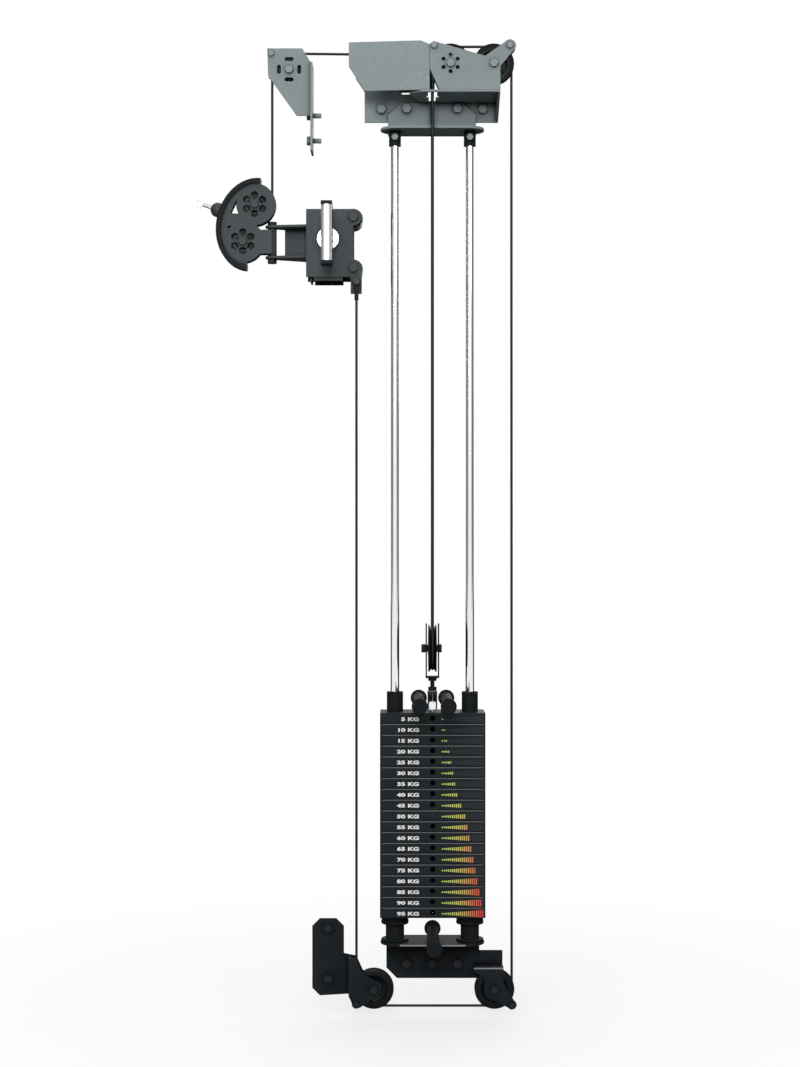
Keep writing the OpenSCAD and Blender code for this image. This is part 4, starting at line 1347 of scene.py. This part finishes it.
@dataclass
class Cable:
    """The coated cable: bent stretches on the pulleys and straight runs, which lengthen and shorten on the
    real station but are made here at rest length.

    Attributes:
        radius: radius of the coat.
        step: distance between rings on a straight run.
        crisp: edges sharper than this stay crisp, in degrees.
        exit: where the cable leaves the lower head pulley, in millimetres.
        exit_lean: slope of the cable there, in degrees.
        ball: middle of the ball stop.
        ball_grip: distance from the ball's middle at which the run ends.
        bent: CAD nodes of the bent stretches.
    """

    radius: float = 3.0 * MM
    step: float = 12.0 * MM
    crisp: float = 40.0
    exit: Triple = (-435.02, 22.0, 1891.47)
    exit_lean: float = 20.0
    ball: Triple = (-509.5, 22.0, 1918.6)
    ball_grip: float = 17.0
    bent: tuple[str, ...] = ("cable_top_span", "cable_return_run", "cable_stack_loop", "head_cable")

    def runs(self) -> list[Run]:
        """Sets out the straight runs that change length.

        Returns:
            The runs, with their ends and bodies.
        """
        lean, at = math.radians(self.exit_lean), ROUTE
        out, ball = Vector(self.exit), Vector(self.ball)
        reach = (ball - out).length - self.ball_grip
        stop = out + Vector((-math.cos(lean), 0.0, math.sin(lean))) * reach
        upright = (
            ("cable_dead_run", 0.0, at.dead_depth, at.dead_height, at.stack_height, "stack"),
            ("cable_live_run", 0.0, at.live_depth, at.live_height, at.stack_height, "stack"),
            ("cable_anchor_run", at.anchor_line, at.base_depth, at.base_height, at.anchor_height, "trolley"),
            ("cable_front_run", at.front_line, at.front_depth, at.front_height, at.head_height, "trolley"),
        )
        runs = [Run(node, (across, back, start), (across, back, end), ("root", body))
                for node, across, back, start, end, body in upright]
        return [*runs, Run("cable_exit_run", tuple(out), tuple(stop), ("head", "cable_end"))]

    def build(self) -> None:
        """Makes the runs, then dresses the bent stretches."""
        for run in self.runs():
            name = run.node + "_coat"
            start, end = in_frame(*run.start), in_frame(*run.end)
            piece = new_object(name, tube(name, straight(start, end, self.step), self.radius))
            piece.data.materials.append(FINISHES[Slot.CABLE].material())
            mark_sharp(piece.data, self.crisp)
            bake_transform(piece)
            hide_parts(run.node)
            LOG.info("%s runs from %s to %s", piece.name, *run.bodies)
        for node in self.bent:
            dress(node, FINISHES[Slot.CABLE])


@dataclass
class WeightStack:
    """Nineteen plates with their printed weights and bar graphs, in millimetres.

    Attributes:
        rows: number of plates.
        picked: plates that rise with the pin.
        plate_mass: kilograms of a plate.
        front: front face of the plates.
        bottom: underside of the lowest plate above the floor.
        pitch: height of a plate with its seam.
        plate_height: height of one plate without the seam.
        plate_edge: width of a plate's broken edge, in metres.
        text_right: right edge of the printed weights.
        text_height: height of a capital.
        text_width: width of the widest weight.
        text_weight: how much fatter than plain the letters are, as a share of their size.
        text_spacing: how far apart the letters stand, as a share of the plain distance.
        text_bite: how deep the back of the letters lies in the plate.
        first_bar: middle of the first bar.
        bar_pitch: distance between bars.
        bar_width: width of a bar.
        lowest_bar: height of the first bar.
        highest_bar: height of the last bar.
        bars: bars in a row.
        print_drop: distance of the print below a plate's middle.
        ink: thickness of the print.
        ink_bite: how deep the bars lie in the plate.
        rim_drop: distance of the painted highlight rim below a plate's top edge.
        rim_width: length of the painted highlight rim.
        rim_height: height of the painted highlight rim.
        lit: lit bars in each row, from the top.
    """

    rows: int = 19
    picked: int = 10
    plate_mass: int = 5
    front: float = -114.0
    bottom: float = 258.0
    pitch: float = 25.0
    plate_height: float = 24.6
    plate_edge: float = 0.9 * MM
    text_right: float = -31.8
    text_height: float = 9.0
    text_width: float = 51.0
    text_weight: float = 0.048
    text_spacing: float = 1.03
    text_bite: float = 0.05
    first_bar: float = 22.3
    bar_pitch: float = 4.66
    bar_width: float = 3.0
    lowest_bar: float = 3.0
    highest_bar: float = 17.0
    bars: int = 21
    print_drop: float = 2.0
    ink: float = 0.12
    ink_bite: float = 0.02
    rim_drop: float = 1.4
    rim_width: float = 234.0
    rim_height: float = 1.8
    lit: tuple[int, ...] = (1, 2, 3, 4, 5, 6, 7, 8, 10, 12, 13, 14, 15, 16, 17, 18, 19, 20, 21)

    def row_height(self, row: int) -> float:
        """Returns the height of a plate's middle above the origin; row 0 is the top plate."""
        return self.bottom - ORIGIN_HEIGHT + (self.rows - 1 - row) * self.pitch + self.plate_height / 2

    def bar_front(self) -> float:
        """Returns the middle of the thickness of a printed bar."""
        return self.front - self.ink / 2 + self.ink_bite

    def weight_text(self, plates: int) -> Mesh:
        """Makes one printed weight as a thin mesh.

        Args:
            plates: number of plates that it counts.

        Returns:
            The mesh, flat at the origin and in the text's own units.
        """
        curve = bpy.data.curves.new("print", "FONT")
        curve.body = f"{plates * self.plate_mass} KG"
        curve.offset = self.text_weight
        curve.space_character = self.text_spacing
        curve.resolution_u = 4
        curve.fill_mode = "BOTH"
        curve.extrude = 0.01
        holder = new_object("print", curve)
        mesh = evaluated_mesh(holder)
        bpy.data.objects.remove(holder)
        return mesh

    def prints(self, rows: Iterable[int]) -> Mesh:
        """Prints the weights of some rows, all scaled as the widest one is.

        Args:
            rows: rows to print.

        Returns:
            One mesh with all of them.
        """
        widest = self.weight_text(self.rows)
        left, right = (end(v.co.x for v in widest.vertices) for end in (min, max))
        low, high = (end(v.co.y for v in widest.vertices) for end in (min, max))
        tall = self.text_height / (high - low)
        wide = self.text_width / (right - left)
        middle = (low + high) / 2
        made = []
        for row in rows:
            mesh = self.weight_text(row + 1)
            right = max(v.co.x for v in mesh.vertices)
            for v in mesh.vertices:
                across, up, out = v.co
                v.co = (
                    (self.text_right + (across - right) * wide) * MM,
                    (self.front - (self.ink if out > 0 else -self.text_bite)) * MM,
                    (self.row_height(row) - self.print_drop + (up - middle) * tall) * MM,
                )
            mesh.materials.clear()
            mesh.materials.append(WHITE_INK.material())
            made.append(mesh)
        return join("weights", made)

    def graphs(self, rows: Iterable[int], tree: RepeatTree) -> Mesh:
        """Makes the bar graphs of some rows, lit and unlit.

        Args:
            rows: rows to make.
            tree: the repeating nodes.

        Returns:
            One mesh with all of them.
        """
        last = self.first_bar + (self.bars - 1) * self.bar_pitch
        bright = BarInk("bar_ink", (0.5, 0.5, 0.5), 0.42, left=self.first_bar * MM, right=last * MM)
        growth = (self.highest_bar - self.lowest_bar) / (self.bars - 1)
        step, larger = Vector((self.bar_pitch, 0, 0)) * MM, Vector((0, 0, growth)) * MM
        made = []
        for row in rows:
            lit, height = self.lit[row], self.row_height(row) - self.print_drop
            for first, count, ink in ((0, lit, bright), (lit, self.bars - lit, DIM_INK)):
                if count > 0:
                    start = Vector((self.first_bar + first * self.bar_pitch, self.bar_front(), height)) * MM
                    size = Vector((self.bar_width, self.ink, self.lowest_bar + first * growth)) * MM
                    made.append(tree.row(count, start, step, size, larger, ink.material()))
        return join("bars", made)

    def rims(self, rows: Sequence[int], tree: RepeatTree) -> Mesh:
        """Makes the painted highlight rims along the top edges of some plates, where the edges catch the
        light.

        Args:
            rows: rows that have one, without a gap.
            tree: the repeating nodes.

        Returns:
            One mesh with all of them.
        """
        top = self.row_height(rows[0]) + self.plate_height / 2 - self.rim_drop
        start = Vector((0.0, self.bar_front(), top)) * MM
        size = Vector((self.rim_width, self.ink, self.rim_height)) * MM
        step = Vector((0, 0, -self.pitch)) * MM
        # Painted highlight strips, one under the top edge of each plate.
        return tree.row(len(rows), start, step, size, Vector(), RIM_HIGHLIGHT.material())

    def build(self, tree: RepeatTree) -> None:
        """Finishes the plates and prints each body's rows.

        Args:
            tree: the repeating nodes.
        """
        for node in ("picked_plates", "resting_plates"):
            put(Eased(node, Slot.STACK, self.plate_edge).build(), body_of(node), node)
        for body, rows in (("stack", range(self.picked)), ("root", range(self.picked, self.rows))):
            made = {"weights": self.prints(rows), "bar_graphs": self.graphs(rows, tree),
                    "plate_rim_highlights": self.rims([row for row in rows if row > 0], tree)}
            for name, mesh in made.items():
                put(new_object(f"{body}_{name}", mesh), body)


@dataclass
class Dressed:
    """CAD nodes whose shape stays and that take a finish.

    Attributes:
        nodes: nodes that take the finish of their slot.
        ball: node of the ball stop, which has its own rubber.
    """

    nodes: tuple[str, ...] = ("guide_rods", "selector_pin", "cable_eye")
    ball: str = "ball_stop"

    def build(self) -> None:
        """Gives each node its finish."""
        for node in self.nodes:
            dress(node, FINISHES[slot_of(node)])
        dress(self.ball, BALL_RUBBER)


@dataclass
class BaseTrim:
    """Lower rings of the rubber buffers and painted highlight lines on the folds of the base shelves, in
    millimetres.

    Attributes:
        rods: sideways places of the buffers.
        depth: how far forward they stand.
        ring: inner radius, outer radius, underside and top of a ring above the floor.
        feet: inner radius, outer radius, underside and top of a buffer's foot.
        rounding: radius of a ring's rounded rims.
        folds: left end, right end, front face and height above the floor of each painted highlight line.
        fold_height: height of the painted highlight line.
        proud: how far it stands out.
    """

    rods: tuple[float, float] = (-87.5, 87.5)
    depth: float = -64.0
    ring: tuple[float, float, float, float] = (21.0, 32.0, 237.0, 246.4)
    feet: tuple[float, float, float, float] = (21.0, 32.0, 196.9, 203.0)
    rounding: float = 2.5
    folds: tuple[tuple[float, float, float, float], ...] = (
        (-76.0, 76.0, -110.0, 194.0), (98.0, 168.0, -35.5, 124.6),
    )
    fold_height: float = 3.6
    proud: float = 0.12

    def outline(self, bore: float, rim: float, low: float, high: float) -> Outline:
        """Draws a ring with rounded rims, lowered from the floor's heights to the origin's.

        Args:
            bore: inner radius.
            rim: outer radius.
            low: underside above the floor.
            high: top above the floor.

        Returns:
            The closed outline.
        """
        low, high = low - ORIGIN_HEIGHT, high - ORIGIN_HEIGHT
        inside = rim - self.rounding
        return [
            (bore, low), *arc((inside, low + self.rounding), self.rounding, -90.0, 0.0, 5),
            *arc((inside, high - self.rounding), self.rounding, 0.0, 90.0, 5), (bore, high),
        ]

    def rings(self) -> Mesh:
        """Turns the rings and feet of both buffers.

        Returns:
            One mesh with all of them.
        """
        made = []
        for across in self.rods:
            place = Matrix.Translation(Vector((across, self.depth, 0.0)) * MM)
            for sizes in (self.ring, self.feet):
                ring = turned("ring", self.outline(*sizes), place)
                ring.materials.append(FINISHES[Slot.RUBBER].material())
                made.append(ring)
        return join("buffer_rings", made)

    def build(self, tree: RepeatTree) -> None:
        """Makes the rings and the painted highlight lines.

        Args:
            tree: the repeating nodes.
        """
        put(new_object("buffer_rings", self.rings()), "root")
        lines = []
        for left, right, front, height in self.folds:
            start = in_frame((left + right) / 2, front - self.proud / 2, height)
            size = Vector((right - left, self.proud, self.fold_height)) * MM
            # Painted highlight line along a shelf's front fold.
            lines.append(tree.row(1, start, Vector(), size, Vector(), FOLD_HIGHLIGHT.material()))
        put(new_object("shelf_fold_highlights", join("shelf_fold_highlights", lines)), "root")


def main() -> None:
    """Builds the station in order."""
    logging.basicConfig(level=logging.INFO, format="%(message)s")
    bpy.context.scene.view_settings.view_transform = "Standard"
    Studio().build()
    Cable().build()
    SheetMetal().build()
    Pulleys().build()
    tree = RepeatTree()
    WeightStack().build(tree)
    BaseTrim().build(tree)
    Dressed().build()


if __name__ == "__main__":
    main()
